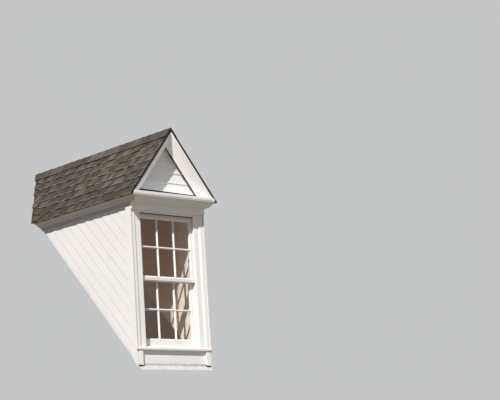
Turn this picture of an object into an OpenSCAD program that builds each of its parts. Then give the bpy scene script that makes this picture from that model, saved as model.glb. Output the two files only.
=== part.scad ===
// Gabled dormer window with a closed pediment, for a steep shingled roof.
// Millimetres. The window faces -Y, +Z is up, the house roof rises towards +Y.
// The origin lies on the sloped underside of the front sole plate, which seats on the roof deck.

/* [Roofs] */
// pitch of the house roof that the dormer stands on, degrees
roof_pitch = 46.5; // [40:0.5:52]
// pitch of the two slopes of the dormer roof, degrees
gable_pitch = 52; // [46:0.5:56]
// thickness of the shingles of the house roof over its deck
house_shingles = 12; // [8:1:16]
// from the front face to where the house roof is level with the underside of the sill
roof_setback = 182; // [160:2:220]
// height of the underside of the roof boards over the soffit, at the outer edge of the eave crown
eave_lift = 87; // [80:0.5:94]
// how far the shingles reach out over the eave crown
eave_over = 36; // [24:1:44]
// thickness of the shingles of the dormer roof
shingle_thick = 12; // [9:1:15]
// thickness of the roof boards
deck_thick = 12; // [10:1:15]
// depth of the roof with its boards, rafters and lining
roof_thick = 105; // [90:5:120]
// how far the roof boards end behind the edge of the shingles at the eave
deck_inset = 20; // [16:1:24]
// how far the roof reaches out over the front face, without its metal edging
rake_reach = 134; // [124:1:144]
// width of the ridge cap on each slope
cap_width = 125; // [100:5:160]
// thickness of the ridge cap
cap_thick = 6; // [4:1:8]
// depth of the dark metal edging along the rakes
drip_depth = 24; // [20:1:30]
// thickness of that edging
drip_thick = 4; // [3:0.5:5]

/* [Walls] */
// thickness of the cheek walls and width of the corner posts
wall_thick = 84; // [80:2:92]
// depth of the framing of the front wall
front_depth = 90; // [80:5:100]
// thickness of the curbs and of the sole plate, square to the roof
curb_thick = 38; // [32:2:45]
// gap between the window header and the soffit over it
header_gap = 4; // [2:1:8]

/* [Cornice] */
// height of the frieze board under the front soffit
frieze_height = 76; // [70:1:84]
// height of the crown from the soffit to the fillet
crown_height = 71; // [64:1:78]
// projection of the crown moulding
crown_reach = 49; // [45:1:52]
// height of the white fillet over the crown
fillet_height = 33; // [28:1:38]
// how far the fillet stands out over the crown
fillet_lip = 4; // [3:0.5:6]
// projection of the front cornice from the front face to the outer edge of the crown
cornice_reach = 147; // [130:1:160]
// thickness of the edge that the cap board shows over the fillet
cap_edge = 6; // [4:1:8]
// how far the frieze stands out from the front face
frieze_out = 10; // [6:1:14]
// height of the frieze boards on the cheeks
side_frieze_height = 44; // [36:2:56]
// depth of the rake crown square to the slope, from the roof boards to its lower edge
rake_depth = 96; // [88:2:104]
// from the front face to the lower edge of the rake crown
rake_back = 30; // [24:1:36]
// thickness of the rake crown at its lower edge
rake_edge = 10; // [8:1:14]
// how far that edge hangs under the soffit behind it
rake_lip = 42; // [32:2:50]

/* [Cladding] */
// thickness of the cheek siding at the butts
siding_thick = 16; // [12:1:18]
// exposed width of a siding board, square to its edge
siding_exposure = 115; // [108:1:122]
// thickness of the boards of the tympanum at their lower edges
tympanum_thick = 16; // [12:1:18]
// exposed height of a board in the tympanum
tympanum_exposure = 114; // [108:1:120]
// height of the lowest lap of the tympanum over the cornice cap
tympanum_lap = 53; // [40:1:66]
// how far the lower edge of a siding board stands out over the next board
siding_lap = 4; // [2:0.5:7]
// how far the lower edge of a board of the tympanum stands out over the next board
tympanum_step = 8; // [5:0.5:11]
// width of the corner boards on the cheeks
corner_board_width = 94; // [84:2:104]
// how far the corner boards stand out over the siding
corner_board_out = 21; // [18:1:24]
// how far the corner boards lie behind the front face
corner_board_back = 4; // [3:0.5:6]
// thickness of the corner boards seen from the front
corner_board_thick = 20; // [18:0.5:24]
// face width of the pilasters beside the window
pilaster_face = 40; // [34:1:46]
// width of the bevelled bead on their inner edge
pilaster_bead = 20; // [16:1:24]
// how far the pilasters stand out over the casing
pilaster_out = 24; // [18:1:28]
// thickness of the casing and of the apron panel
casing_thick = 20; // [18:1:24]
// gap between the cladding and the shingles of the house roof
roof_gap = 4; // [3:0.5:6]

/* [Window] */
// half width between the jambs
jamb_half = 393; // [380:1:410]
// thickness of the jambs and of the head jamb
jamb_thick = 19; // [16:1:22]
// how far the casing and the beads cover the sashes
bead_cover = 7; // [6:0.5:9]
// height of the top of the upper sash over the underside of the sill
sash_top = 1547; // [1480:1:1620]
// height of the top of the lower sash and of the meeting rails
meeting_top = 833; // [800:1:860]
// height of the underside of the lower sash
sash_low = 65; // [60:1:70]
// thickness of a sash
sash_thick = 35; // [32:0.5:38]
// width of the stiles
stile = 43; // [38:1:50]
// width of the top rail of the upper sash
top_rail = 56; // [48:1:62]
// width of the two meeting rails
meeting_rail = 42; // [36:1:48]
// width of the bottom rail of the lower sash
bottom_rail = 73; // [64:1:82]
// thickness of the glass
glass_thick = 4; // [3:0.5:5]
// depth of the glazing groove
glass_seat = 6; // [4:0.5:8]
// gap between the two sashes
parting_gap = 10; // [8:0.5:12]
// gap between a sash and the jambs
sash_gap = 2; // [1:0.5:3]
// thickness of the sill at its nose
sill_nose = 28; // [24:1:32]
// how far the nose of the sill stands out from the front face
sill_out = 9; // [6:1:14]
// how far the horns of the sill reach out over the corner boards
sill_horn = 9; // [6:1:16]
// how far the back of the sill is notched over the wall under it
sill_seat = 16; // [12:1:20]
// from the front face to the drip groove under the sill
drip_y = 10; // [8:1:12]
// depth of the sill's drip groove along Y
drip_groove = 10; // [8:1:12]
// width of the flange of the apron flashing on the roof
flashing_width = 50; // [40:2:60]
// thickness of the apron flashing
flashing_thick = 2; // [1.5:0.5:3]
// height of its upstand in front of the apron panel
flashing_up = 26; // [20:1:34]
// how far its flange begins in front of the face of the apron panel
flashing_set = 6; // [4:1:10]

/* [Hidden] */
$fn = 24;
tan_roof = tan(roof_pitch);
cos_roof = cos(roof_pitch);
tan_gable = tan(gable_pitch);
cos_gable = cos(gable_pitch);

// depths along Y, from the front face of the pilasters
casing_y = pilaster_out;
frame_y = casing_y + casing_thick;
frame_back = frame_y + front_depth;
seat_y = frame_y + front_depth / 2;
upper_y = frame_y + 13;
lower_y = upper_y + sash_thick + parting_gap;
jamb_back = lower_y + sash_thick + 13;
// widths along X
wall_in = jamb_half + jamb_thick;
wall_half = wall_in + wall_thick;
siding_face = wall_half + siding_thick;
corner_face = siding_face + corner_board_out;
pilaster_edge = corner_face - corner_board_thick;
bead_edge = pilaster_edge - pilaster_face;
pilaster_in = bead_edge - pilaster_bead;
sash_half = jamb_half - sash_gap;
sight = sash_half - stile;
casing_in = jamb_half - bead_cover;
sill_half = corner_face + sill_horn;
// heights along Z
head_low = sash_top + sash_gap;
header_low = head_low + jamb_thick;
soffit_height = header_low + frieze_height;
header_top = soffit_height - header_gap;
crown_top = soffit_height + crown_height;
fillet_top = crown_top + fillet_height;
// the roofs
cornice_half = corner_face + crown_reach;
eave_reach = cornice_half + eave_over;
roof_front = -rake_reach;
fillet_front = -cornice_reach - fillet_lip;
crown_in = -cornice_reach + crown_reach;
overhang_under = shingle_thick + deck_thick;
roof_under = shingle_thick + roof_thick;
ridge_height = soffit_height + eave_lift + cornice_half * tan_gable + overhang_under / cos_gable;
back_end = 1.3 * (roof_setback + ridge_height / tan_roof);
// bounds that lie outside the whole dormer
wide = 1.5 * eave_reach;
high = 1.5 * ridge_height;
low = -3 * roof_setback;
near = 3 * roof_front;

// height of a plane parallel to the house roof, offset square to it from the top of its shingles
function on_roof(y, off) = (y - roof_setback) * tan_roof + off / cos_roof;
// height of a plane parallel to a slope of the dormer roof, so far under its top
function on_gable(x, under) = ridge_height - abs(x) * tan_gable - under / cos_gable;
seat_z = on_roof(seat_y, -house_shingles);

// everything is drawn from the front face and the underside of the sill, and is moved here
module placed() { translate([0, -seat_y, -seat_z]) children(); }
// a profile in Y and Z drawn out along X
module along_x(x0, x1) { translate([x0, 0, 0]) rotate([90, 0, 90]) linear_extrude(x1 - x0) children(); }
// a profile in X and Z drawn out along Y
module along_y(y0, y1) { translate([0, y1, 0]) rotate([90, 0, 0]) linear_extrude(y1 - y0) children(); }
module box(x0, x1, y0, y1, z0, z1) { translate([x0, y0, z0]) cube([x1 - x0, y1 - y0, z1 - z0]); }
module flip(side) { if (side < 0) mirror([1, 0, 0]) children(); else children(); }
// the section through boards that lap down over each other, with their backs on the second axis
module lapped(thick, step, exposure, count) {
  polygon([[0, 0], for (i = [0 : count - 1]) each [[thick, i * exposure], [thick - step, (i + 1) * exposure]],
    [0, count * exposure]]);
}
// all that lies over the house roof
module over_roof(off) {
  along_x(-wide, wide) polygon([[near, on_roof(near, off)], [back_end, on_roof(back_end, off)],
    [back_end, 2 * high], [near, 2 * high]]);
}
// the band between two planes parallel to the house roof
module roof_band(off0, off1, x0, x1, y0, y1) {
  along_x(x0, x1) polygon([[y0, on_roof(y0, off0)], [y1, on_roof(y1, off0)],
    [y1, on_roof(y1, off1)], [y0, on_roof(y0, off1)]]);
}
// the band between two planes parallel to the right slope of the dormer roof
module slope_band(under0, under1, x1, y0, y1) {
  along_y(y0, y1) polygon([[0, on_gable(0, under0)], [x1, on_gable(x1, under0)],
    [x1, on_gable(x1, under1)], [0, on_gable(0, under1)]]);
}
// all that lies under the dormer roof
module under_gable(under, y0, y1) {
  along_y(y0, y1) polygon([[-wide, 2 * low], [wide, 2 * low], [wide, on_gable(wide, under)],
    [0, on_gable(0, under)], [-wide, on_gable(wide, under)]]);
}

// framing
module front_sole_plate() {
  color("burlywood") placed() roof_band(-house_shingles, curb_thick - house_shingles,
    -wall_half, wall_half, frame_y, frame_back);
}
module curb(side) {
  color("burlywood") placed() flip(side) intersection() {
    roof_band(-house_shingles, curb_thick - house_shingles, wall_in, wall_half, frame_back, back_end);
    under_gable(roof_under, frame_back, back_end);
  }
}
module corner_post(side) {
  color("burlywood") placed() flip(side) intersection() {
    box(wall_in, wall_half, frame_y, frame_back, low, high);
    over_roof(curb_thick - house_shingles);
    under_gable(roof_under, frame_y, frame_back);
  }
}
module cheek_wall(side) {
  color("wheat") placed() flip(side) intersection() {
    box(wall_in, wall_half, frame_back, back_end, low, high);
    over_roof(curb_thick - house_shingles);
    under_gable(roof_under, frame_back, back_end);
  }
}
module under_sill_wall() {
  color("wheat") placed() intersection() {
    box(-wall_in, wall_in, frame_y, frame_back, low, sill_seat);
    over_roof(curb_thick - house_shingles);
  }
}
module window_header() {
  color("burlywood") placed() box(-wall_in, wall_in, frame_y, frame_back, header_low, header_top);
}
module gable_wall() {
  color("wheat") placed() intersection() {
    box(-wall_in, wall_in, frame_y, frame_back, header_top, ridge_height);
    under_gable(roof_under, 0, frame_back);
  }
}

// roof
module roof_deck(side) {
  color("peru") placed() flip(side) intersection() {
    union() {
      slope_band(shingle_thick, overhang_under, eave_reach - deck_inset, roof_front, back_end);
      slope_band(shingle_thick, roof_under, wall_half, frame_y, back_end);
    }
    over_roof(-house_shingles);
  }
}
module shingles(side) {
  color("dimgray") placed() flip(side) intersection() {
    slope_band(0, shingle_thick, eave_reach, roof_front, back_end);
    over_roof(0);
  }
}
module ridge_cap() {
  color("gray") placed() intersection() {
    along_y(roof_front, back_end) polygon([[0, on_gable(0, -cap_thick)],
      [cap_width * cos_gable, on_gable(cap_width * cos_gable, -cap_thick)],
      [cap_width * cos_gable, on_gable(cap_width * cos_gable, 0)], [0, on_gable(0, 0)],
      [-cap_width * cos_gable, on_gable(cap_width * cos_gable, 0)],
      [-cap_width * cos_gable, on_gable(cap_width * cos_gable, -cap_thick)]]);
    over_roof(0);
  }
}
module drip_edge(side) {
  color("black") placed() flip(side) intersection() {
    slope_band(0, drip_depth, eave_reach, roof_front - drip_thick, roof_front);
    box(0, eave_reach, roof_front - drip_thick, roof_front,
      on_gable(eave_reach, drip_depth * 0.6), ridge_height);
  }
}

// the profile of the crown mouldings, with its inner lower corner at 0, 0
module crown_profile(reach, high) {
  polygon([[0, 0], [-reach * 0.1, 0], [-reach * 0.1, high * 0.12], [-reach * 0.22, high * 0.15],
    [-reach * 0.36, high * 0.22], [-reach * 0.48, high * 0.36], [-reach * 0.58, high * 0.52],
    [-reach * 0.7, high * 0.66], [-reach * 0.86, high * 0.76], [-reach, high * 0.82],
    [-reach, high], [0, high]]);
}
module front_crown() {
  color("white") placed() intersection() {
    union() {
      translate([0, crown_in, soffit_height]) along_x(-wide, wide)
        crown_profile(crown_reach, crown_height);
      box(-wide, wide, fillet_front, crown_in, crown_top, fillet_top - cap_edge);
    }
    linear_extrude(high) polygon([[-corner_face, crown_in], [corner_face, crown_in],
      [cornice_half + fillet_lip, fillet_front], [-cornice_half - fillet_lip, fillet_front]]);
    under_gable(overhang_under, near, 0);
  }
}
module eave_crown(side) {
  color("white") placed() flip(side) intersection() {
    union() {
      translate([corner_face, 0, soffit_height]) along_y(-cornice_reach, back_end)
        mirror([1, 0]) crown_profile(crown_reach, crown_height);
      box(corner_face, cornice_half, -cornice_reach, back_end, crown_top - 1, high);
    }
    linear_extrude(high) polygon([[corner_face, crown_in],
      [cornice_half, -cornice_reach], [cornice_half, back_end], [corner_face, back_end]]);
    under_gable(overhang_under, -cornice_reach, back_end);
    over_roof(roof_gap);
    eave_crown_room();
  }
}
// under the cornice cap in front of the wall, free behind it
module eave_crown_room() {
  along_x(0, wide) polygon([[near, 0], [back_end, 0], [back_end, high], [0, high],
    [0, fillet_top - cap_edge], [near, fillet_top - cap_edge]]);
}
// the rake crown in Y and in the depth square to the slope: its edge, a hollow, a round and a fillet
module rake_profile(reach) {
  back = rake_back + frame_y;
  polygon([[back, rake_lip], [rake_edge, rake_lip], [rake_edge, 0], [0, 0],
    [-reach * 0.05, rake_depth * 0.1], [-reach * 0.26, rake_depth * 0.26],
    [-reach * 0.46, rake_depth * 0.42], [-reach * 0.66, rake_depth * 0.62],
    [-reach * 0.84, rake_depth * 0.8], [-reach, rake_depth * 0.88],
    [-reach, rake_depth], [back, rake_depth]]);
}
// drawn out along the slope from the height of its edge, and cut off plumb at the ridge
module rake_crown(side) {
  color("white") placed() flip(side) intersection() {
    translate([0, 0, on_gable(0, overhang_under + rake_depth)]) rotate([0, gable_pitch, 0])
      along_x(-wide, 2 * wide) translate([-rake_back, 0]) rake_profile(rake_reach - rake_back);
    union() {
      box(0, cornice_half, roof_front, 0, fillet_top, ridge_height);
      box(0, wall_half, -1, frame_y, fillet_top, ridge_height);
    }
  }
}
module front_soffit() {
  color("white") placed() box(-corner_face, corner_face, crown_in, 0,
    soffit_height, fillet_top - cap_edge);
}
module cornice_cap() {
  color("white") placed() intersection() {
    union() {
      box(-cornice_half - fillet_lip, cornice_half + fillet_lip, fillet_front, 0,
        fillet_top - cap_edge, fillet_top);
      box(-wall_half, wall_half, -1, frame_y, fillet_top - cap_edge, fillet_top);
    }
    under_gable(overhang_under, near, frame_y);
  }
}
module tympanum() {
  first = fillet_top + tympanum_lap - tympanum_exposure;
  color("white") placed() intersection() {
    along_x(-wide, wide) translate([frame_y, first]) mirror([1, 0])
      lapped(tympanum_thick, tympanum_step, tympanum_exposure,
        ceil((ridge_height - first) / tympanum_exposure));
    box(-wide, wide, near, wall_half, fillet_top, high);
    under_gable(overhang_under + rake_depth - rake_lip, near, wall_half);
  }
}

// cladding
module front_frieze() {
  color("white") placed() union() {
    box(-corner_face, corner_face, -frieze_out, 0, header_low, soffit_height);
    box(-wall_half, wall_half, 0, frame_y, header_low, fillet_top - cap_edge);
  }
}
module side_frieze(side) {
  color("white") placed() flip(side) intersection() {
    box(wall_half, corner_face, 0, back_end, soffit_height - side_frieze_height, high);
    over_roof(roof_gap);
    under_gable(overhang_under, 0, back_end);
  }
}
module pilaster(side) {
  color("white") placed() flip(side) intersection() {
    linear_extrude(header_low) polygon([[pilaster_in, frame_y], [pilaster_in, casing_y],
      [bead_edge, 0], [pilaster_edge, 0], [pilaster_edge, frame_y]]);
    over_sill(header_low);
  }
}
module base_block(side) {
  color("white") placed() flip(side) intersection() {
    box(pilaster_in, pilaster_edge, 0, frame_y, low, 0);
    over_roof(roof_gap);
  }
}
module corner_board(side) {
  color("white") placed() flip(side) intersection() {
    translate([0, 0, low]) linear_extrude(soffit_height - side_frieze_height - low) polygon([
      [corner_face, corner_board_back], [corner_face, corner_board_width], [wall_half, corner_board_width],
      [wall_half, frame_y], [pilaster_edge, frame_y], [pilaster_edge, corner_board_back]]);
    over_roof(roof_gap);
  }
}
module cheek_siding(side) {
  color("white") placed() flip(side) intersection() {
    translate([0, 0, on_roof(0, 0)]) rotate([roof_pitch, 0, 0]) along_y(2 * low, 2 * back_end)
      translate([wall_half, 0])
        lapped(siding_thick, siding_lap, siding_exposure, ceil(soffit_height / siding_exposure));
    box(0, wide, corner_board_width, back_end, low, soffit_height - side_frieze_height);
    over_roof(roof_gap);
  }
}

// window
function sill_top(y) = sill_nose + (y + sill_out) * (sash_low - sill_nose) / (lower_y + sill_out);
// all between the sloped top of the sill and a height
module over_sill(top) {
  along_x(0, wide) polygon([[-sill_out, sill_nose], [lower_y, sash_low], [jamb_back, sash_low],
    [jamb_back, top], [-sill_out, top]]);
}
module window_frame() {
  color("white") placed() {
    for (side = [-1, 1]) flip(side) intersection() {
      linear_extrude(header_low) polygon([[wall_in, frame_y], [wall_in, jamb_back], [casing_in, jamb_back],
        [casing_in, lower_y + sash_thick + sash_gap], [jamb_half, lower_y + sash_thick + sash_gap],
        [jamb_half, lower_y - 1], [casing_in, lower_y - 1],
        [casing_in, lower_y - parting_gap + 1], [jamb_half, lower_y - parting_gap + 1],
        [jamb_half, upper_y - 1], [casing_in, upper_y - 1], [casing_in, frame_y]]);
      over_sill(header_low);
    }
    box(-wall_in, wall_in, frame_y, jamb_back, head_low, header_low);
  }
}
module window_casing() {
  color("white") placed() union() {
    for (side = [-1, 1]) flip(side) intersection() {
      box(casing_in, pilaster_in, casing_y, frame_y, 0, header_low);
      over_sill(header_low);
    }
    box(-pilaster_in, pilaster_in, casing_y, frame_y, head_low - bead_cover, header_low);
  }
}
module window_sill() {
  color("white") placed() difference() {
    along_x(-sill_half, sill_half) polygon([[-sill_out, 0], [-sill_out, sill_nose], [lower_y, sash_low],
      [jamb_back, sash_low], [jamb_back, sill_seat], [frame_y, sill_seat], [frame_y, 0],
      [drip_y + 1.4 * drip_groove, 0], [drip_y + drip_groove, drip_groove / 2],
      [drip_y + drip_groove * 0.4, drip_groove / 2], [drip_y, 0]]);
    for (side = [-1, 1]) flip(side) {
      box(pilaster_edge, wide, corner_board_back, back_end, low, high);
      box(wall_in, wide, frame_y, back_end, low, high);
    }
  }
}
module apron_panel() {
  color("white") placed() intersection() {
    box(-pilaster_in, pilaster_in, casing_y, frame_y, low, 0);
    over_roof(roof_gap);
  }
}
module apron_flashing() {
  run = flashing_width * cos_roof;
  color("white") placed() union() {
    roof_band(0, flashing_thick, -pilaster_edge, pilaster_edge,
      casing_y + flashing_set - run, casing_y + flashing_set);
    along_x(-pilaster_in, pilaster_in) polygon([[casing_y, on_roof(casing_y, 0)],
      [casing_y, on_roof(casing_y, 0) + flashing_up],
      [casing_y - flashing_thick, on_roof(casing_y, 0) + flashing_up],
      [casing_y - flashing_thick, on_roof(casing_y - flashing_thick, 0)]]);
  }
}
module sash(y, low, high, rail_low, rail_high) {
  color("white") placed() difference() {
    box(-sash_half, sash_half, y, y + sash_thick, low, high);
    box(-sight, sight, y - 1, y + sash_thick + 1, low + rail_low, high - rail_high);
    box(-sight - glass_seat, sight + glass_seat, y + (sash_thick - glass_thick) / 2,
      y + (sash_thick + glass_thick) / 2, low + rail_low - glass_seat, high - rail_high + glass_seat);
  }
}
module pane(y, low, high) {
  color("lightblue", 0.5) placed() box(-sight - glass_seat, sight + glass_seat,
    y + (sash_thick - glass_thick) / 2, y + (sash_thick + glass_thick) / 2,
    low - glass_seat, high + glass_seat);
}
module upper_sash() { sash(upper_y, meeting_top - meeting_rail, sash_top, meeting_rail, top_rail); }
module lower_sash() { sash(lower_y, sash_low, meeting_top, bottom_rail, meeting_rail); }
module upper_glass() { pane(upper_y, meeting_top, sash_top - top_rail); }
module lower_glass() { pane(lower_y, sash_low + bottom_rail, meeting_top - meeting_rail); }

front_sole_plate();
curb(-1);  // left_curb
curb(1);  // right_curb
corner_post(-1);  // left_corner_post
corner_post(1);  // right_corner_post
cheek_wall(-1);  // left_cheek_wall
cheek_wall(1);  // right_cheek_wall
under_sill_wall();
window_header();
gable_wall();
roof_deck(-1);  // left_roof_deck
roof_deck(1);  // right_roof_deck
shingles(-1);  // left_shingles
shingles(1);  // right_shingles
ridge_cap();
drip_edge(-1);  // left_drip_edge
drip_edge(1);  // right_drip_edge
rake_crown(-1);  // left_rake_crown
rake_crown(1);  // right_rake_crown
tympanum();
front_crown();
eave_crown(-1);  // left_eave_crown
eave_crown(1);  // right_eave_crown
front_soffit();
cornice_cap();
front_frieze();
side_frieze(-1);  // left_frieze
side_frieze(1);  // right_frieze
pilaster(-1);  // left_pilaster
pilaster(1);  // right_pilaster
base_block(-1);  // left_base_block
base_block(1);  // right_base_block
corner_board(-1);  // left_corner_board
corner_board(1);  // right_corner_board
cheek_siding(-1);  // left_cheek_siding
cheek_siding(1);  // right_cheek_siding
window_frame();
window_casing();
window_sill();
apron_panel();
apron_flashing();
upper_sash();
lower_sash();
upper_glass();
lower_glass();
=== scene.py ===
"""The finished look of a gabled dormer window with a closed pediment, built around its model.

Sizes are millimetres, measured from the front face of the pilasters and the underside of the
window sill: X to the right, Y into the roof, Z up. A mesh is moved into the model's own frame, in
metres, when it is made.
"""

import logging
import math
import random
from dataclasses import dataclass, field
from enum import Enum
from typing import Callable, Iterable, Sequence

import bmesh
import bpy
from mathutils import Matrix, Vector
from mathutils import noise as value_noise

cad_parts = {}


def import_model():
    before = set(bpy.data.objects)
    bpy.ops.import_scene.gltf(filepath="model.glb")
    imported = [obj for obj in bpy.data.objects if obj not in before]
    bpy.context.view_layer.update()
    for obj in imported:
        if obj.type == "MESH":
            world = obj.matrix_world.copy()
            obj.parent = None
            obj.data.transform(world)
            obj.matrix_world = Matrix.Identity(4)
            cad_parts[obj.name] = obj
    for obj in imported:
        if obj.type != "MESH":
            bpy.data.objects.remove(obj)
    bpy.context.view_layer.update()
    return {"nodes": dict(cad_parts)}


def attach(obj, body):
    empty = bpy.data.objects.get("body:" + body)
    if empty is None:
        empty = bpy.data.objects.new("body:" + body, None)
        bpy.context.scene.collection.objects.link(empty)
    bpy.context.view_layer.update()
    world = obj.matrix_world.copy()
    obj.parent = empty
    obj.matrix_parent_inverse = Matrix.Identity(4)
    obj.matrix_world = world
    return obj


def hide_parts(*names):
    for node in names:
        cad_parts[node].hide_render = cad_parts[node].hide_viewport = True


log = logging.getLogger("dormer")

Colour = tuple[float, float, float]
Stops = tuple[tuple[float, Colour], ...]
Point2 = tuple[float, float]
Span = tuple[float, float, float, float]

BODY = "root"
SIDES = ((-1, "left"), (1, "right"))
MM = 0.001
SEAT_Y = 89.0
SEAT_Z = -115.434
ROOF_PITCH = math.radians(46.5)
GABLE_PITCH = math.radians(52.0)


@dataclass(frozen=True)
class Sizes:
    """The sizes of the dormer that its boards, shingles and mouldings share, in millimetres."""

    roof_pitch: float = ROOF_PITCH
    gable_pitch: float = GABLE_PITCH
    roof_setback: float = 182.0
    ridge: float = 2514.9
    eave_reach: float = 618.0
    roof_front: float = -134.0
    back_y: float = 2600.0
    rake_soffit: float = 78.0
    fillet_top: float = 1748.0
    side_frieze: float = 1600.0
    corner_board: float = 94.0
    wall_half: float = 496.0
    siding_face: float = 512.0
    pilaster_edge: float = 513.0
    pilaster_in: float = 453.0
    casing_y: float = 24.0
    frame_y: float = 44.0
    block_lift: float = 24.0

    def on_roof(self, y: float, off: float = 0.0) -> float:
        """Height of a plane parallel to the roof seat, offset square to it."""
        run = y - self.roof_setback
        return run * math.tan(self.roof_pitch) + off / math.cos(self.roof_pitch)

    def on_gable(self, x: float, under: float = 0.0) -> float:
        """Height of a plane parallel to a slope of the dormer roof, so far under its top."""
        drop = abs(x) * math.tan(self.gable_pitch)
        return self.ridge - drop - under / math.cos(self.gable_pitch)

    def roof_normal(self) -> Vector:
        """The unit vector square to the roof seat, out of it."""
        return Vector((0.0, -math.sin(self.roof_pitch), math.cos(self.roof_pitch)))


SIZES = Sizes()
TO_FRAME = Matrix.Translation((0.0, -SEAT_Y * MM, -SEAT_Z * MM)) @ Matrix.Scale(MM, 4)


def framed(point: Sequence[float]) -> Vector:
    """A point in millimetres of the dormer as a point of the model's frame, in metres."""
    return Vector((point[0] * MM, (point[1] - SEAT_Y) * MM, (point[2] - SEAT_Z) * MM))


# Node graphs


class Wire:
    """An output of a node, which adds a Math node to its tree when it is used in arithmetic."""

    def __init__(self, graph: "Graph", socket: bpy.types.NodeSocket) -> None:
        """Keeps the socket and the graph that it is in."""
        self.graph = graph
        self.socket = socket

    def _math(self, operation: str, first: object, second: object = None,
              clamp: bool = False) -> "Wire":
        """Adds a Math node.

        Args:
            operation: the name of the Math node's operation.
            first: its first value or wire.
            second: its second value or wire, where it has one.
            clamp: whether the result is kept between 0 and 1.

        Returns:
            The wire of its result.
        """
        settings = {"operation": operation, "use_clamp": clamp}
        values = {0: first} if second is None else {0: first, 1: second}
        return self.graph.add("ShaderNodeMath", settings, values)[0]

    def __add__(self, other: object) -> "Wire":
        """The sum."""
        return self._math("ADD", self, other)

    __radd__ = __add__

    def __sub__(self, other: object) -> "Wire":
        """The difference."""
        return self._math("SUBTRACT", self, other)

    def __rsub__(self, other: object) -> "Wire":
        """The difference from a number."""
        return self._math("SUBTRACT", other, self)

    def __mul__(self, other: object) -> "Wire":
        """The product."""
        return self._math("MULTIPLY", self, other)

    __rmul__ = __mul__

    def __truediv__(self, other: object) -> "Wire":
        """The quotient."""
        return self._math("DIVIDE", self, other)

    def __gt__(self, other: object) -> "Wire":
        """1 where it is greater."""
        return self._math("GREATER_THAN", self, other)

    def __lt__(self, other: object) -> "Wire":
        """1 where it is less."""
        return self._math("LESS_THAN", self, other)

    def absolute(self) -> "Wire":
        """Its absolute value."""
        return self._math("ABSOLUTE", self)

    def clamped(self) -> "Wire":
        """The value kept between 0 and 1."""
        return self._math("ADD", self, 0.0, clamp=True)

    def between(self, low: float, high: float) -> "Wire":
        """0 at low and 1 at high, with an even rise; high may be the smaller one."""
        return ((self - low) / (high - low)).clamped()


class Outputs:
    """The outputs of a node by name or number, as wires."""

    def __init__(self, graph: "Graph", node: bpy.types.Node) -> None:
        """Keeps the node and its graph."""
        self.graph = graph
        self.node = node

    def __getitem__(self, key: int | str) -> Wire:
        """The wire of one output."""
        return Wire(self.graph, self.node.outputs[key])


class Graph:
    """A shader or geometry tree that nodes are added to."""

    def __init__(self, tree: bpy.types.NodeTree) -> None:
        """Starts from an empty tree."""
        self.tree = tree
        tree.nodes.clear()

    def add(self, kind: str, settings: dict[str, object] | None = None,
            values: dict[int | str, object] | None = None) -> Outputs:
        """Adds one node.

        Args:
            kind: the node's type.
            settings: its properties, which are set before its sockets.
            values: numbers, colours, objects or wires for its inputs, by name or number.

        Returns:
            The node's outputs.
        """
        node = self.tree.nodes.new(kind)
        for key, value in (settings or {}).items():
            if key == "stops":
                self._set_stops(node.color_ramp, value)
            else:
                setattr(node, key, value)
        for key, value in (values or {}).items():
            if isinstance(value, Wire):
                self.tree.links.new(value.socket, node.inputs[key])
            else:
                node.inputs[key].default_value = value
        return Outputs(self, node)

    @staticmethod
    def _set_stops(ramp: bpy.types.ColorRamp, stops: Stops) -> None:
        """Gives a colour ramp its stops.

        Args:
            ramp: the ramp.
            stops: the place and the colour of each stop, from the lowest to the highest.
        """
        while len(ramp.elements) < len(stops):
            ramp.elements.new(1.0)
        for element, (place, colour) in zip(ramp.elements, stops):
            element.position = place
            element.color = (*colour, 1.0)

    def mix(self, share: object, first: object, second: object) -> Wire:
        """Mixes two colours.

        Args:
            share: how much of the second colour there is, between 0 and 1.
            first: the first colour, as a wire or three numbers.
            second: the second colour, likewise.

        Returns:
            The wire of the mixed colour.
        """
        full = [(*c, 1.0) if isinstance(c, tuple) and len(c) == 3 else c for c in (first, second)]
        settings = {"data_type": "RGBA", "blend_type": "MIX", "clamp_factor": True}
        return self.add("ShaderNodeMix", settings, {0: share, 6: full[0], 7: full[1]})[2]

    def ramp(self, share: Wire, stops: Stops) -> Wire:
        """The colour of a ramp at a share."""
        return self.add("ShaderNodeValToRGB", {"stops": stops}, {0: share})[0]

    def noise(self, vector: Wire, scale: float, detail: float = 2.0,
              roughness: float = 0.5) -> Wire:
        """A noise between about 0 and 1."""
        values = {"Vector": vector, "Scale": scale, "Detail": detail, "Roughness": roughness}
        return self.add("ShaderNodeTexNoise", None, values)[0]

    def mapped(self, vector: Wire, scale: Sequence[float],
               turn: Sequence[float] = (0.0, 0.0, 0.0)) -> Wire:
        """The coordinates turned and then stretched."""
        turned = self.add("ShaderNodeMapping", None, {"Vector": vector, "Rotation": tuple(turn)})
        return self.add("ShaderNodeMapping", None, {"Vector": turned[0], "Scale": tuple(scale)})[0]

    def axes(self, vector: Wire) -> Outputs:
        """The three numbers of a vector."""
        return self.add("ShaderNodeSeparateXYZ", None, {0: vector})

    def vectors(self, operation: str, first: object, second: object) -> Outputs:
        """A Vector Math node on two vectors."""
        return self.add("ShaderNodeVectorMath", {"operation": operation}, {0: first, 1: second})

    def attribute(self, name: str) -> Wire:
        """A number that the mesh carries at its points."""
        return self.add("ShaderNodeAttribute", {"attribute_name": name})["Fac"]


# Finishes


class Grain(Enum):
    """The way that the grain of a board runs, as the turn that lays it along X."""

    ALONG_X = (0.0, 0.0, 0.0)
    ALONG_Y = (0.0, 0.0, -math.pi / 2)
    UPRIGHT = (0.0, math.pi / 2, 0.0)
    UP_THE_ROOF = (-ROOF_PITCH, 0.0, -math.pi / 2)
    DOWN_THE_GABLE = (0.0, -GABLE_PITCH, 0.0)


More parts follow.
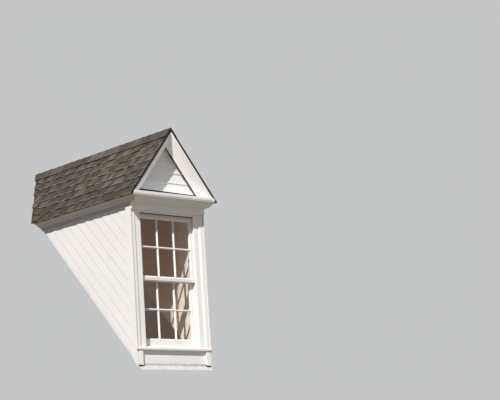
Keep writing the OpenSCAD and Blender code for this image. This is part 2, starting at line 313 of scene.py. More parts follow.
@dataclass(frozen=True)
class Finish:
    """A finish of the dormer, made once and shared by its pieces."""

    name: str
    slot: str

    def material(self) -> bpy.types.Material:
        """Makes the finish's material at its first use.

        Returns:
            The material.
        """
        made = bpy.data.materials.get(f"{self.name}_finish")
        if made is None:
            made = bpy.data.materials.new(f"{self.name}_finish")
            made.use_nodes = True
            self.draw(Graph(made.node_tree))
        return made

    def draw(self, graph: Graph) -> None:
        """Adds the nodes of the finish."""
        raise NotImplementedError

    @staticmethod
    def place(graph: Graph) -> Wire:
        """The coordinates of the dormer, which its patterns read."""
        return graph.add("ShaderNodeTexCoord")["Object"]

    @staticmethod
    def over_roof(graph: Graph, place: Wire) -> Wire:
        """The distance over the plane that the cladding stands on, in metres."""
        away = graph.vectors("SUBTRACT", place, tuple(framed((0.0, SIZES.roof_setback, 0.0))))[0]
        return graph.vectors("DOT_PRODUCT", away, tuple(SIZES.roof_normal()))["Value"]

    @staticmethod
    def output(graph: Graph, colour: Wire, roughness: object, height: Wire | None = None,
               depth: float = 0.001, strength: float = 1.0, metallic: float = 0.0,
               specular: float = 0.5) -> None:
        """Ends the graph in a Principled shader.

        Args:
            graph: the finish's graph.
            colour: the wire of its colour.
            roughness: its roughness, as a wire or a number.
            height: the bump's height, between 0 and 1.
            depth: how deep a height of 1 is, in metres.
            strength: how strongly the bump shows.
            metallic: how metallic it is.
            specular: the level of its reflections.
        """
        values: dict[int | str, object] = {
            "Base Color": colour, "Roughness": roughness, "Metallic": metallic,
            "Specular IOR Level": specular}
        if height is not None:
            bump = {"Strength": strength, "Distance": depth, "Height": height}
            values["Normal"] = graph.add("ShaderNodeBump", None, bump)[0]
        shader = graph.add("ShaderNodeBsdfPrincipled", None, values)[0]
        graph.add("ShaderNodeOutputMaterial", None, {"Surface": shader})


@dataclass(frozen=True)
class WhitePaint(Finish):
    """Old white paint on wood: faint grain, rain streaks, specks, and grime low on the cheeks."""

    grain: Grain = Grain.UPRIGHT
    colour: Colour = (0.80, 0.775, 0.745)
    dulled: float = 0.955
    yellowed: Colour = (0.93, 0.90, 0.85)
    other_board: Colour = (0.70, 0.67, 0.63)
    streak: Colour = (0.42, 0.39, 0.35)
    speck: Colour = (0.30, 0.27, 0.23)
    dirt: Colour = (0.21, 0.185, 0.15)
    grime: float = 0.35
    grime_reach: float = 0.075

    def draw(self, graph: Graph) -> None:
        """Adds the nodes of the paint.

        Args:
            graph: the finish's graph.
        """
        place = self.place(graph)
        grain = graph.noise(graph.mapped(place, (3.0, 60.0, 60.0), self.grain.value), 1.0, 4.0, 0.6)
        brush = graph.noise(graph.mapped(place, (6.0, 260.0, 260.0), self.grain.value), 1.0, 2.0)
        cloud = graph.noise(place, 2.3, 3.0)
        rain = graph.noise(graph.mapped(place, (34.0, 34.0, 1.6)), 1.0, 3.0, 0.6)
        specks = graph.noise(place, 140.0, 2.0, 0.7)
        blotch = graph.noise(place, 9.0, 4.0, 0.6)
        dull = tuple(c * self.dulled for c in self.colour)
        yellow = tuple(c * k for c, k in zip(self.colour, self.yellowed))
        light = graph.mix(cloud.between(0.35, 0.7), self.colour, dull)
        warm = graph.mix(grain.between(0.55, 0.8) * 0.25, light, yellow)
        tone = graph.attribute("tone").absolute()
        toned = graph.mix(tone * 0.5, warm, self.other_board)
        wet = rain.between(0.56, 0.82) * blotch.between(0.4, 0.7)
        streaked = graph.mix(wet * 0.22, toned, self.streak)
        fly = specks.between(0.69, 0.76) * blotch.between(0.45, 0.6)
        speckled = graph.mix(fly * 0.5, streaked, self.speck)
        near = self.over_roof(graph, place).between(self.grime_reach, 0.0)
        splashed = near * near * blotch.between(0.25, 0.75)
        soiled = graph.mix(splashed * self.grime, speckled, self.dirt)
        rough = 0.46 + 0.12 * cloud + 0.10 * blotch
        height = 0.55 * brush + 0.45 * grain
        self.output(graph, soiled, rough, height, 0.0006, 0.35, specular=0.42)


@dataclass(frozen=True)
class BareTimber(Finish):
    """Sawn timber, aged a little."""

    grain: Grain = Grain.UPRIGHT
    light: Colour = (0.42, 0.27, 0.14)
    dark: Colour = (0.20, 0.115, 0.055)
    grey: Colour = (0.19, 0.16, 0.13)

    def draw(self, graph: Graph) -> None:
        """Adds the nodes of the timber.

        Args:
            graph: the finish's graph.
        """
        place = self.place(graph)
        along = graph.mapped(place, (1.6, 34.0, 34.0), self.grain.value)
        rings = graph.noise(along, 1.0, 5.0, 0.62)
        saw = graph.noise(graph.mapped(place, (420.0, 6.0, 6.0), self.grain.value), 1.0, 1.0)
        cloud = graph.noise(place, 3.0, 3.0)
        wood = graph.mix(rings.between(0.3, 0.72), self.light, self.dark)
        tinted = graph.mix(cloud.between(0.4, 0.8) * 0.35, wood, self.grey)
        self.output(graph, tinted, 0.72 + 0.15 * rings, 0.6 * rings + 0.4 * saw, 0.0009, 0.5)


@dataclass(frozen=True)
class CreamLining(Finish):
    """The lining of the inside, painted cream over boards and turned brown higher up and further
    back as painted shade; its outside is bare wood.
    """

    inside: float = 0.418
    colour: Colour = (0.88, 0.83, 0.74)
    # painted shade: the brown that the cream turns to higher up and further back
    upper: Colour = (0.66, 0.475, 0.32)
    stain: Colour = (0.50, 0.40, 0.30)
    seam: Colour = (0.22, 0.18, 0.13)
    light: Colour = (0.30, 0.21, 0.13)
    dark: Colour = (0.16, 0.11, 0.07)
    boards: float = 9.0

    def draw(self, graph: Graph) -> None:
        """Adds the nodes of the lining.

        Args:
            graph: the finish's graph.
        """
        place = self.place(graph)
        parts = graph.axes(place)
        facing = graph.axes(graph.add("ShaderNodeNewGeometry")["Normal"])
        within = (parts[0].absolute() < self.inside) * (parts[1] > 0.03) * (facing[1] < 0.5)
        cloud = graph.noise(place, 3.1, 3.0)
        board = graph.add("ShaderNodeMath", {"operation": "FRACT"}, {0: parts[2] * self.boards})[0]
        seams = board < 0.03
        # painted shade: higher up and further back, where the inside lies in shade, the cream turns
        # brown
        high = parts[2].between(0.20, 0.95) * parts[1].between(0.20, 0.44)
        tinted = graph.mix(high, self.colour, self.upper)
        cream = graph.mix(cloud.between(0.35, 0.7) * 0.4, tinted, self.stain)
        lined = graph.mix(seams * 0.55, cream, self.seam)
        rings = graph.noise(graph.mapped(place, (2.0, 40.0, 40.0)), 1.0, 4.0)
        shown = graph.mix(within, graph.mix(rings, self.light, self.dark), lined)
        height = graph.noise(place, 120.0, 3.0) - seams
        self.output(graph, shown, 0.5 + 0.15 * cloud, height, 0.0008, 0.4)


@dataclass(frozen=True)
class Granules(Finish):
    """Asphalt shingles: mineral granules, a tone for each shingle, weather streaks, painted shade
    with dark granules under each butt, and a painted highlight along it.
    """

    turn: float = 1.0
    tones: Stops = ((0.0, (0.044, 0.033, 0.026)), (0.35, (0.080, 0.064, 0.052)),
                    (0.7, (0.125, 0.104, 0.086)), (1.0, (0.185, 0.160, 0.135)))
    patch: Colour = (0.074, 0.060, 0.050)
    faded: Colour = (0.165, 0.145, 0.122)
    damp: Colour = (0.030, 0.025, 0.022)
    pale_grain: Colour = (0.26, 0.235, 0.20)
    dark_grain: Colour = (0.016, 0.013, 0.011)
    # painted shade, with the dark granules there, at the top of each exposure under the next butt
    butt_shade_and_granules: Colour = (0.012, 0.009, 0.007)
    # painted highlight along each butt
    butt_highlight: Colour = (0.27, 0.245, 0.205)
    # the colour that the lower and back parts of a slope are darkened towards
    low_back_tone: Colour = (0.026, 0.021, 0.016)

    def draw(self, graph: Graph) -> None:
        """Adds the nodes of the shingles.

        Args:
            graph: the finish's graph.
        """
        place = self.place(graph)
        granule = graph.add("ShaderNodeTexVoronoi", None, {"Vector": place, "Scale": 420.0})[0]
        grit = graph.noise(place, 260.0, 3.0, 0.7)
        patch = graph.noise(place, 7.0, 4.0, 0.6)
        down = graph.mapped(place, (2.2, 30.0, 2.2), (0.0, self.turn * SIZES.gable_pitch, 0.0))
        streak = graph.noise(down, 1.0, 4.0, 0.65)
        body = graph.ramp(graph.attribute("tone"), self.tones)
        mottled = graph.mix(patch.between(0.35, 0.7) * 0.5, body, self.patch)
        faded = graph.mix(streak.between(0.5, 0.74) * 0.55, mottled, self.faded)
        damp = graph.mix(streak.between(0.46, 0.25) * 0.5, faded, self.damp)
        grain = graph.mix(grit.between(0.52, 0.72) * 0.45, damp, self.pale_grain)
        dark = graph.mix(granule.between(0.42, 0.7) * 0.5, grain, self.dark_grain)
        up = graph.attribute("up")
        dash = graph.noise(graph.mapped(place, (8.0, 9.5, 8.0)), 1.0, 2.0, 0.5)
        # painted shade, with the shingles' dark granules: a dark band under each course's butt
        under = up.between(0.60, 0.78) * dash.between(0.44, 0.54)
        shadowed = graph.mix(under * 0.9, dark, self.butt_shade_and_granules)
        # painted highlight: a lighter band just above each butt
        marked = up.between(0.20, 0.06) * (up > 0.004) * dash.between(0.58, 0.46)
        shown = graph.mix(marked * 0.42, shadowed, self.butt_highlight)
        parts = graph.axes(place)
        # darker towards the eave and towards the back of the slope
        low = parts[2].between(2.12, 1.86) * 0.30
        darker_mix = (low + parts[1].between(1.1, 1.9) * 0.16).clamped()
        soiled = graph.mix(darker_mix, shown, self.low_back_tone)
        self.output(graph, soiled, 0.93, 0.7 * grit + 0.3 * granule, 0.0012, 0.8, specular=0.2)


@dataclass(frozen=True)
class DarkEdging(Finish):
    """Metal edging, painted nearly black."""

    colour: Colour = (0.016, 0.013, 0.011)
    dusty: Colour = (0.075, 0.062, 0.052)
    scraped: Colour = (0.14, 0.12, 0.10)

    def draw(self, graph: Graph) -> None:
        """Adds the nodes of the edging.

        Args:
            graph: the finish's graph.
        """
        place = self.place(graph)
        dust = graph.noise(place, 28.0, 4.0, 0.65)
        scratch = graph.noise(graph.mapped(place, (60.0, 60.0, 9.0)), 1.0, 3.0)
        coat = graph.mix(dust.between(0.5, 0.8) * 0.5, self.colour, self.dusty)
        marked = graph.mix(scratch.between(0.66, 0.74) * 0.6, coat, self.scraped)
        self.output(graph, marked, 0.42 + 0.3 * dust, scratch, 0.0004, 0.4, metallic=0.2)


@dataclass(frozen=True)
class PaintedFlashing(Finish):
    """Sheet metal under old white paint, with dirt lying on it."""

    colour: Colour = (0.60, 0.585, 0.57)
    darker_mix: Colour = (0.34, 0.31, 0.28)
    chipped: Colour = (0.17, 0.16, 0.155)

    def draw(self, graph: Graph) -> None:
        """Adds the nodes of the flashing.

        Args:
            graph: the finish's graph.
        """
        place = self.place(graph)
        dirt = graph.noise(place, 16.0, 5.0, 0.62)
        chips = graph.noise(place, 55.0, 4.0, 0.6).between(0.66, 0.72)
        paint = graph.mix(dirt.between(0.42, 0.75) * 0.55, self.colour, self.darker_mix)
        marked = graph.mix(chips, paint, self.chipped)
        self.output(graph, marked, 0.38 + 0.3 * dirt, 0.5 * dirt - chips, 0.0006, 0.5)


@dataclass(frozen=True)
class WindowGlass(Finish):
    """Clear panes that take a little light and mirror more of it the flatter they are seen."""

    ior: float = 1.5
    mirror: Colour = (0.92, 0.94, 0.95)
    tint: Colour = (0.975, 0.97, 0.96)

    def draw(self, graph: Graph) -> None:
        """Adds the nodes of the glass.

        Args:
            graph: the finish's graph.
        """
        place = self.place(graph)
        wave = graph.noise(place, 5.0, 2.0)
        film = graph.noise(place, 11.0, 4.0, 0.6)
        bump = graph.add("ShaderNodeBump", None,
                         {"Strength": 0.25, "Distance": 0.002, "Height": wave})[0]
        fresnel = graph.add("ShaderNodeFresnel", None, {"IOR": self.ior, "Normal": bump})[0]
        mirror = graph.add("ShaderNodeBsdfPrincipled", None, {
            "Base Color": (*self.mirror, 1.0), "Metallic": 1.0,
            "Roughness": 0.03 + 0.03 * film, "Normal": bump})[0]
        clear = graph.add("ShaderNodeBsdfTransparent", None, {"Color": (*self.tint, 1.0)})[0]
        back = graph.add("ShaderNodeNewGeometry")["Backfacing"]
        share = ((fresnel + film.between(0.5, 0.9) * 0.02) * (1.0 - back)).clamped()
        pane = graph.add("ShaderNodeMixShader", None, {0: share, 1: clear, 2: mirror})[0]
        graph.add("ShaderNodeOutputMaterial", None, {"Surface": pane})


@dataclass(frozen=True)
class Studio(Finish):
    """The plain pale floor, which throws only a dim warm light back at the object."""

    pale: Colour = (0.56, 0.56, 0.55)
    cloudy: Colour = (0.52, 0.52, 0.51)
    glow: Colour = (0.22, 0.185, 0.145)

    def draw(self, graph: Graph) -> None:
        """Adds the nodes of the floor.

        Args:
            graph: the finish's graph.
        """
        pale = graph.mix(graph.noise(self.place(graph), 0.4, 2.0), self.pale, self.cloudy)
        seen = graph.add("ShaderNodeLightPath")["Is Camera Ray"]
        self.output(graph, graph.mix(seen, self.glow, pale), 0.85)


def white(name: str, grain: Grain, colour: Colour = (0.80, 0.775, 0.745)) -> WhitePaint:
    """A white paint with its grain and colour."""
    return WhitePaint(f"white_paint_{name}", "white_paint", grain, colour)


PAINT_UP = white("upright", Grain.UPRIGHT)
PAINT_ACROSS = white("across", Grain.ALONG_X)
# darker copy of the white paint for the sunlit cheeks: painted shade, so they come out no brighter
# than the front
PAINT_SIDING_PAINTED_SHADE = white("siding", Grain.UP_THE_ROOF, (0.755, 0.742, 0.738))
# lighter copy of the white paint for the rake crowns: painted light, for the bright sun on the rake
PAINT_RAKE_PAINTED_LIGHT = white("rake", Grain.DOWN_THE_GABLE, (0.95, 0.93, 0.905))
# lighter copy of the white paint for the front frieze: painted light, for the fill it gets in the
# cornice's shade
PAINT_FRIEZE_PAINTED_LIGHT = white("frieze", Grain.ALONG_X, (0.93, 0.905, 0.87))
# lighter copy of the white paint for the boards that face the front: painted light, for the weaker
# sun on them
PAINT_FRONT_PAINTED_LIGHT = white("front", Grain.UPRIGHT, (0.88, 0.86, 0.835))
# lighter copy of the white paint for the apron and the cornice cap: painted light
PAINT_APRON_PAINTED_LIGHT = white("apron", Grain.ALONG_X, (0.88, 0.865, 0.845))
# darker, bluish copy of the white paint for the side friezes: painted shade, for the sky-lit shade
# under the eaves
PAINT_UNDER_EAVE_PAINTED_SHADE = white("under_eave_painted_shade", Grain.ALONG_Y, (0.60, 0.63, 0.68))
# cooler copy of the white paint for the pediment's boards: painted shade, for the bluish shade on
# them
PAINT_GABLE_SHADE_TINT = white("gable", Grain.ALONG_X, (0.81, 0.805, 0.80))
# darker copy of the white paint for the eave crowns: painted shade under the eaves
PAINT_EAVE_PAINTED_SHADE = white("eave", Grain.ALONG_Y, (0.62, 0.60, 0.585))
TIMBER_UP = BareTimber("timber_upright", "timber", Grain.UPRIGHT)
TIMBER_ACROSS = BareTimber("timber_across", "timber", Grain.ALONG_X)
LINING = CreamLining("cream_lining", "lining")
ROOF_BOARDS = CreamLining("roof_boards", "roof_boards", 0.470)
SHINGLES = {side: Granules(f"shingle_granules_{name}", "shingles", -float(side))
            for side, name in SIDES}
EDGING = DarkEdging("dark_edging", "edge_metal")
FLASHING = PaintedFlashing("painted_flashing", "flashing")
GLASS = WindowGlass("window_glass", "window_glass")
FLOOR = Studio("studio_floor", "")


# Making meshes


class Carving:
    """A mesh under way, in millimetres of the dormer, made of closed solids."""

    def __init__(self, source: bpy.types.Mesh | None = None) -> None:
        """Starts with nothing, or with a mesh that it takes over.

        Args:
            source: the mesh, which is removed.
        """
        self.mesh = bmesh.new()
        if source is not None:
            self.mesh.from_mesh(source)
            bpy.data.meshes.remove(source)
        layers = self.mesh.verts.layers.float
        self.tone = layers.get("tone") or layers.new("tone")

    def ring(self, points: Iterable[Sequence[float]],
             tone: float = 0.0) -> list[bmesh.types.BMVert]:
        """Adds points in a tone, without a face.

        Args:
            points: their places.
            tone: the shade that the solid's finish reads.

        Returns:
            The new points.
        """
        verts = [self.mesh.verts.new(p) for p in points]
        for vert in verts:
            vert[self.tone] = tone
        return verts

    def loft(self, rings: Sequence[Sequence[bmesh.types.BMVert]]) -> "Carving":
        """Closes a row of rings to one solid.

        Args:
            rings: the rings, with as many points each.

        Returns:
            The carving itself.
        """
        self.mesh.faces.new(rings[0][::-1])
        self.mesh.faces.new(rings[-1])
        for near, far in zip(rings, rings[1:]):
            for i in range(len(near)):
                j = (i + 1) % len(near)
                self.mesh.faces.new((near[i], near[j], far[j], far[i]))
        return self

    def skin(self, first: Sequence[Vector], last: Sequence[Vector],
             tone: float = 0.0) -> "Carving":
        """Adds a solid between two outlines with as many corners each."""
        return self.loft([self.ring(first, tone), self.ring(last, tone)])

    def prism(self, outline: Sequence[Sequence[float]], along: Sequence[float],
              tone: float = 0.0) -> "Carving":
        """Adds a solid with a flat outline, drawn out along a vector."""
        base = [Vector(p) for p in outline]
        return self.skin(base, [p + Vector(along) for p in base], tone)

    def board(self, low: Sequence[float], high: Sequence[float], tone: float = 0.0) -> "Carving":
        """Adds a rectangular board.

        Args:
            low: its lowest corner.
            high: its highest corner.
            tone: the shade that its finish reads.

        Returns:
            The carving itself.
        """
        (x0, y0, z0), (x1, y1, z1) = low, high
        base = ((x0, y0, z0), (x1, y0, z0), (x1, y1, z0), (x0, y1, z0))
        return self.prism(base, (0.0, 0.0, z1 - z0), tone)

    def cut(self, point: Sequence[float], outward: Sequence[float]) -> "Carving":
        """Cuts away what lies beyond a plane and closes the cut.

        Args:
            point: a point of the plane.
            outward: the vector to the side that goes.

        Returns:
            The carving itself.
        """
        geometry = [*self.mesh.verts, *self.mesh.edges, *self.mesh.faces]
        bmesh.ops.bisect_plane(self.mesh, geom=geometry, dist=1e-4, plane_co=Vector(point),
                               plane_no=Vector(outward), clear_outer=True)
        rim = [e for e in self.mesh.edges if e.is_boundary]
        bmesh.ops.holes_fill(self.mesh, edges=rim, sides=0)
        return self

    def turned_out(self) -> "Carving":
        """Turns every face outwards."""
        bmesh.ops.recalc_face_normals(self.mesh, faces=self.mesh.faces)
        return self

    def ease(self, width: float, angle: float = 28.0, steps: int = 2) -> "Carving":
        """Rounds the sharp edges.

        Args:
            width: how wide the rounding is.
            angle: the angle in degrees from which an edge is sharp.
            steps: the number of faces across the rounding.

        Returns:
            The carving itself.
        """
        self.turned_out()
        bevel(self.mesh, width, angle, steps)
        return self

    def to_shape(self, name: str) -> bpy.types.Mesh:
        """Ends the carving as a shape for a scattering to repeat, which gives it its tone.

        Args:
            name: the name of the mesh.

        Returns:
            The mesh, in millimetres.
        """
        self.turned_out()
        self.mesh.verts.layers.float.remove(self.tone)
        mesh = bpy.data.meshes.new(name)
        self.mesh.to_mesh(mesh)
        self.mesh.free()
        return mesh

    def to_mesh(self, name: str, smooth: float = 20.0) -> bpy.types.Mesh:
        """Ends the carving as a finished mesh.

        Args:
            name: the name of the mesh.
            smooth: the angle in degrees up to which an edge is shaded smooth.

        Returns:
            The mesh, in the model's frame.
        """
        self.turned_out()
        mesh = bpy.data.meshes.new(name)
        self.mesh.to_mesh(mesh)
        self.mesh.free()
        mesh.transform(TO_FRAME)
        soften(mesh, smooth)
        return mesh


def bevel(work: bmesh.types.BMesh, width: float, angle: float, steps: int) -> None:
    """Bevels the edges that are sharper than an angle.

    Args:
        work: the mesh.
        width: the width of the bevel, in the mesh's own unit.
        angle: the angle in degrees.
        steps: the number of faces across the bevel.
    """
    sharp = math.radians(angle)
    edges = [e for e in work.edges if e.is_manifold and e.calc_face_angle(0.0) > sharp]
    bmesh.ops.bevel(work, geom=edges, offset=width, offset_type="OFFSET", segments=steps,
                    profile=0.5, affect="EDGES", clamp_overlap=True)


def soften(mesh: bpy.types.Mesh, angle: float) -> None:
    """Shades a mesh smooth, apart from its sharp edges.

    Args:
        mesh: the mesh.
        angle: the angle in degrees from which an edge is sharp.
    """
    mesh.polygons.foreach_set("use_smooth", [True] * len(mesh.polygons))
    mesh.set_sharp_from_angle(angle=math.radians(angle))
    mesh.update()


def show(name: str, mesh: bpy.types.Mesh, finish: Finish,
         replaces: Sequence[str] = ()) -> bpy.types.Object:
    """Puts a finished mesh into the scene, on the dormer's one body.

    Args:
        name: the name of the piece.
        mesh: its mesh, in the model's frame.
        finish: its finish.
        replaces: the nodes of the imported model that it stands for.

    Returns:
        The object.
    """
    piece = bpy.data.objects.new(name, mesh)
    bpy.context.scene.collection.objects.link(piece)
    mesh.materials.clear()
    mesh.materials.append(finish.material())
    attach(piece, BODY)
    if replaces:
        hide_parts(*replaces)
    log.info("%s: %d faces", name, len(mesh.polygons))
    return piece


def clipped(outline: Sequence[Point2], keep: Callable[[Point2], float]) -> list[Point2]:
    """Clips a flat outline along a line.

    Args:
        outline: its corners.
        keep: a linear function that is negative on the side that goes.

    Returns:
        The corners of what is left.
    """
    result: list[Point2] = []
    for here, there in zip(outline, [*outline[1:], *outline[:1]]):
        a, b = keep(here), keep(there)
        if a >= 0:
            result.append(here)
        if (a > 0 > b) or (a < 0 < b):
            share = a / (a - b)
            result.append((here[0] + (there[0] - here[0]) * share,
                           here[1] + (there[1] - here[1]) * share))
    return result


def flipped(points: Sequence[Vector], side: int) -> list[Vector]:
    """The points on the left or on the right of the dormer."""
    return [Vector((p[0] * side, p[1], p[2])) for p in points]


def rectangle(x0: float, x1: float, z0: float, z1: float) -> list[Point2]:
    """The corners of an upright rectangle, in turn."""
    return [(x0, z0), (x1, z0), (x1, z1), (x0, z1)]


# Geometry Nodes


@dataclass(frozen=True)
class Spot:
    """A place for one repeated shape."""

    place: tuple[float, float, float]
    size: tuple[float, float, float] = (1.0, 1.0, 1.0)
    turn: tuple[float, float, float] = (0.0, 0.0, 0.0)
    tone: float = 0.0


class Scattering:
    """A Geometry Nodes tree that sets one shape at every point.

    The points' own numbers size, turn and tone each shape. Its inputs are the shape, the finish,
    how far a shape may stand off, how far the result's points wander, and a seed.
    """

    def __init__(self, name: str) -> None:
        """Builds the tree: points in, one mesh out.

        Args:
            name: the name of the tree.
        """
        self.tree = bpy.data.node_groups.new(name, "GeometryNodeTree")
        self.inputs: dict[str, str] = {}
        outside = self.tree.interface
        outside.new_socket("Geometry", in_out="INPUT", socket_type="NodeSocketGeometry")
        for label, kind in (("Shape", "Object"), ("Finish", "Material"), ("Lift", "Float"),
                            ("Roughen", "Float"), ("Seed", "Int")):
            socket = outside.new_socket(label, in_out="INPUT", socket_type=f"NodeSocket{kind}")
            self.inputs[label] = socket.identifier
        outside.new_socket("Geometry", in_out="OUTPUT", socket_type="NodeSocketGeometry")
        graph = Graph(self.tree)
        given = graph.add("NodeGroupInput")
        real = self._repeated(graph, given)
        rough = self._roughened(graph, given, real)
        finished = graph.add("GeometryNodeSetMaterial", None, {
            "Geometry": rough, "Material": given["Finish"]})[0]
        graph.add("NodeGroupOutput", None, {0: finished})

    @staticmethod
    def _numbers(graph: Graph, name: str, kind: str) -> Wire:
        """The points' own numbers of that name."""
        return graph.add("GeometryNodeInputNamedAttribute", {"data_type": kind}, {"Name": name})[0]

    def _repeated(self, graph: Graph, given: Outputs) -> Wire:
        """Adds the nodes that set the shape at the points.

        Args:
            graph: the tree's graph.
            given: the tree's inputs.

        Returns:
            The wire of one mesh of all the shapes.
        """
        shape = graph.add("GeometryNodeObjectInfo", {"transform_space": "ORIGINAL"}, {
            "Object": given["Shape"]})["Geometry"]
        size = self._numbers(graph, "size", "FLOAT_VECTOR")
        turn = self._numbers(graph, "turn", "FLOAT_VECTOR")
        tone = self._numbers(graph, "tone", "FLOAT")
        angle = graph.add("FunctionNodeEulerToRotation", None, {0: turn})[0]
        placed = graph.add("GeometryNodeInstanceOnPoints", None, {
            "Points": given["Geometry"], "Instance": shape, "Rotation": angle, "Scale": size})[0]
        toned = graph.add("GeometryNodeStoreNamedAttribute", {
            "data_type": "FLOAT", "domain": "INSTANCE"}, {
            "Geometry": placed, "Name": "tone", "Value": tone})[0]
        random_lift = graph.add("FunctionNodeRandomValue", {"data_type": "FLOAT"}, {
            2: 0.0, 3: given["Lift"], "Seed": given["Seed"]})[1]
        lift = graph.add("ShaderNodeCombineXYZ", None, {2: random_lift})[0]
        moved = graph.add("GeometryNodeTranslateInstances", None, {
            "Instances": toned, "Translation": lift})[0]
        return graph.add("GeometryNodeRealizeInstances", None, {0: moved})[0]

    @staticmethod
    def _roughened(graph: Graph, given: Outputs, real: Wire) -> Wire:
        """Adds the nodes that let the points wander.

        Args:
            graph: the tree's graph.
            given: the tree's inputs.
            real: the wire of the mesh.

        Returns:
            The wire of the moved mesh.
        """
        where = graph.add("GeometryNodeInputPosition")[0]
        ragged = graph.add("ShaderNodeTexNoise", None, {
            "Vector": where, "Scale": 0.02, "Detail": 3.0})["Color"]
        centred = graph.vectors("SUBTRACT", ragged, (0.5, 0.5, 0.5))[0]
        offset = graph.add("ShaderNodeVectorMath", {"operation": "SCALE"}, {
            0: centred, "Scale": given["Roughen"]})[0]
        return graph.add("GeometryNodeSetPosition", None, {"Geometry": real, "Offset": offset})[0]

    def run(self, spots: Sequence[Spot], shape: bpy.types.Mesh, finish: Finish, lift: float = 0.0,
            roughen: float = 0.0, seed: int = 1) -> bpy.types.Mesh:
        """Runs the tree.

        Args:
            spots: where the shapes go.
            shape: the mesh that is repeated, which is removed.
            finish: the finish of the result.
            lift: how far a shape may stand off at random.
            roughen: how far the points wander.
            seed: the seed of what is random.

        Returns:
            One plain mesh of all the shapes, in the spots' own unit.
        """
        points = bpy.data.meshes.new("spots")
        points.from_pydata([s.place for s in spots], [], [])
        for name, kind, key, values in (
                ("size", "FLOAT_VECTOR", "vector", [c for s in spots for c in s.size]),
                ("turn", "FLOAT_VECTOR", "vector", [c for s in spots for c in s.turn]),
                ("tone", "FLOAT", "value", [s.tone for s in spots])):
            points.attributes.new(name, kind, "POINT").data.foreach_set(key, values)
        carrier = bpy.data.objects.new("spots", points)
        template = bpy.data.objects.new("shape", shape)
        for item in (carrier, template):
            bpy.context.scene.collection.objects.link(item)
        modifier = carrier.modifiers.new("scattering", "NODES")
        modifier.node_group = self.tree
        for label, value in (("Shape", template), ("Finish", finish.material()), ("Lift", lift),
                             ("Roughen", roughen), ("Seed", seed)):
            modifier[self.inputs[label]] = value
        bpy.context.view_layer.update()
        evaluated = carrier.evaluated_get(bpy.context.evaluated_depsgraph_get())
        result = bpy.data.meshes.new_from_object(evaluated)
        carrier.modifiers.remove(modifier)
        for item in (carrier, template):
            data = item.data
            bpy.data.objects.remove(item)
            bpy.data.meshes.remove(data)
        return result


# Roof


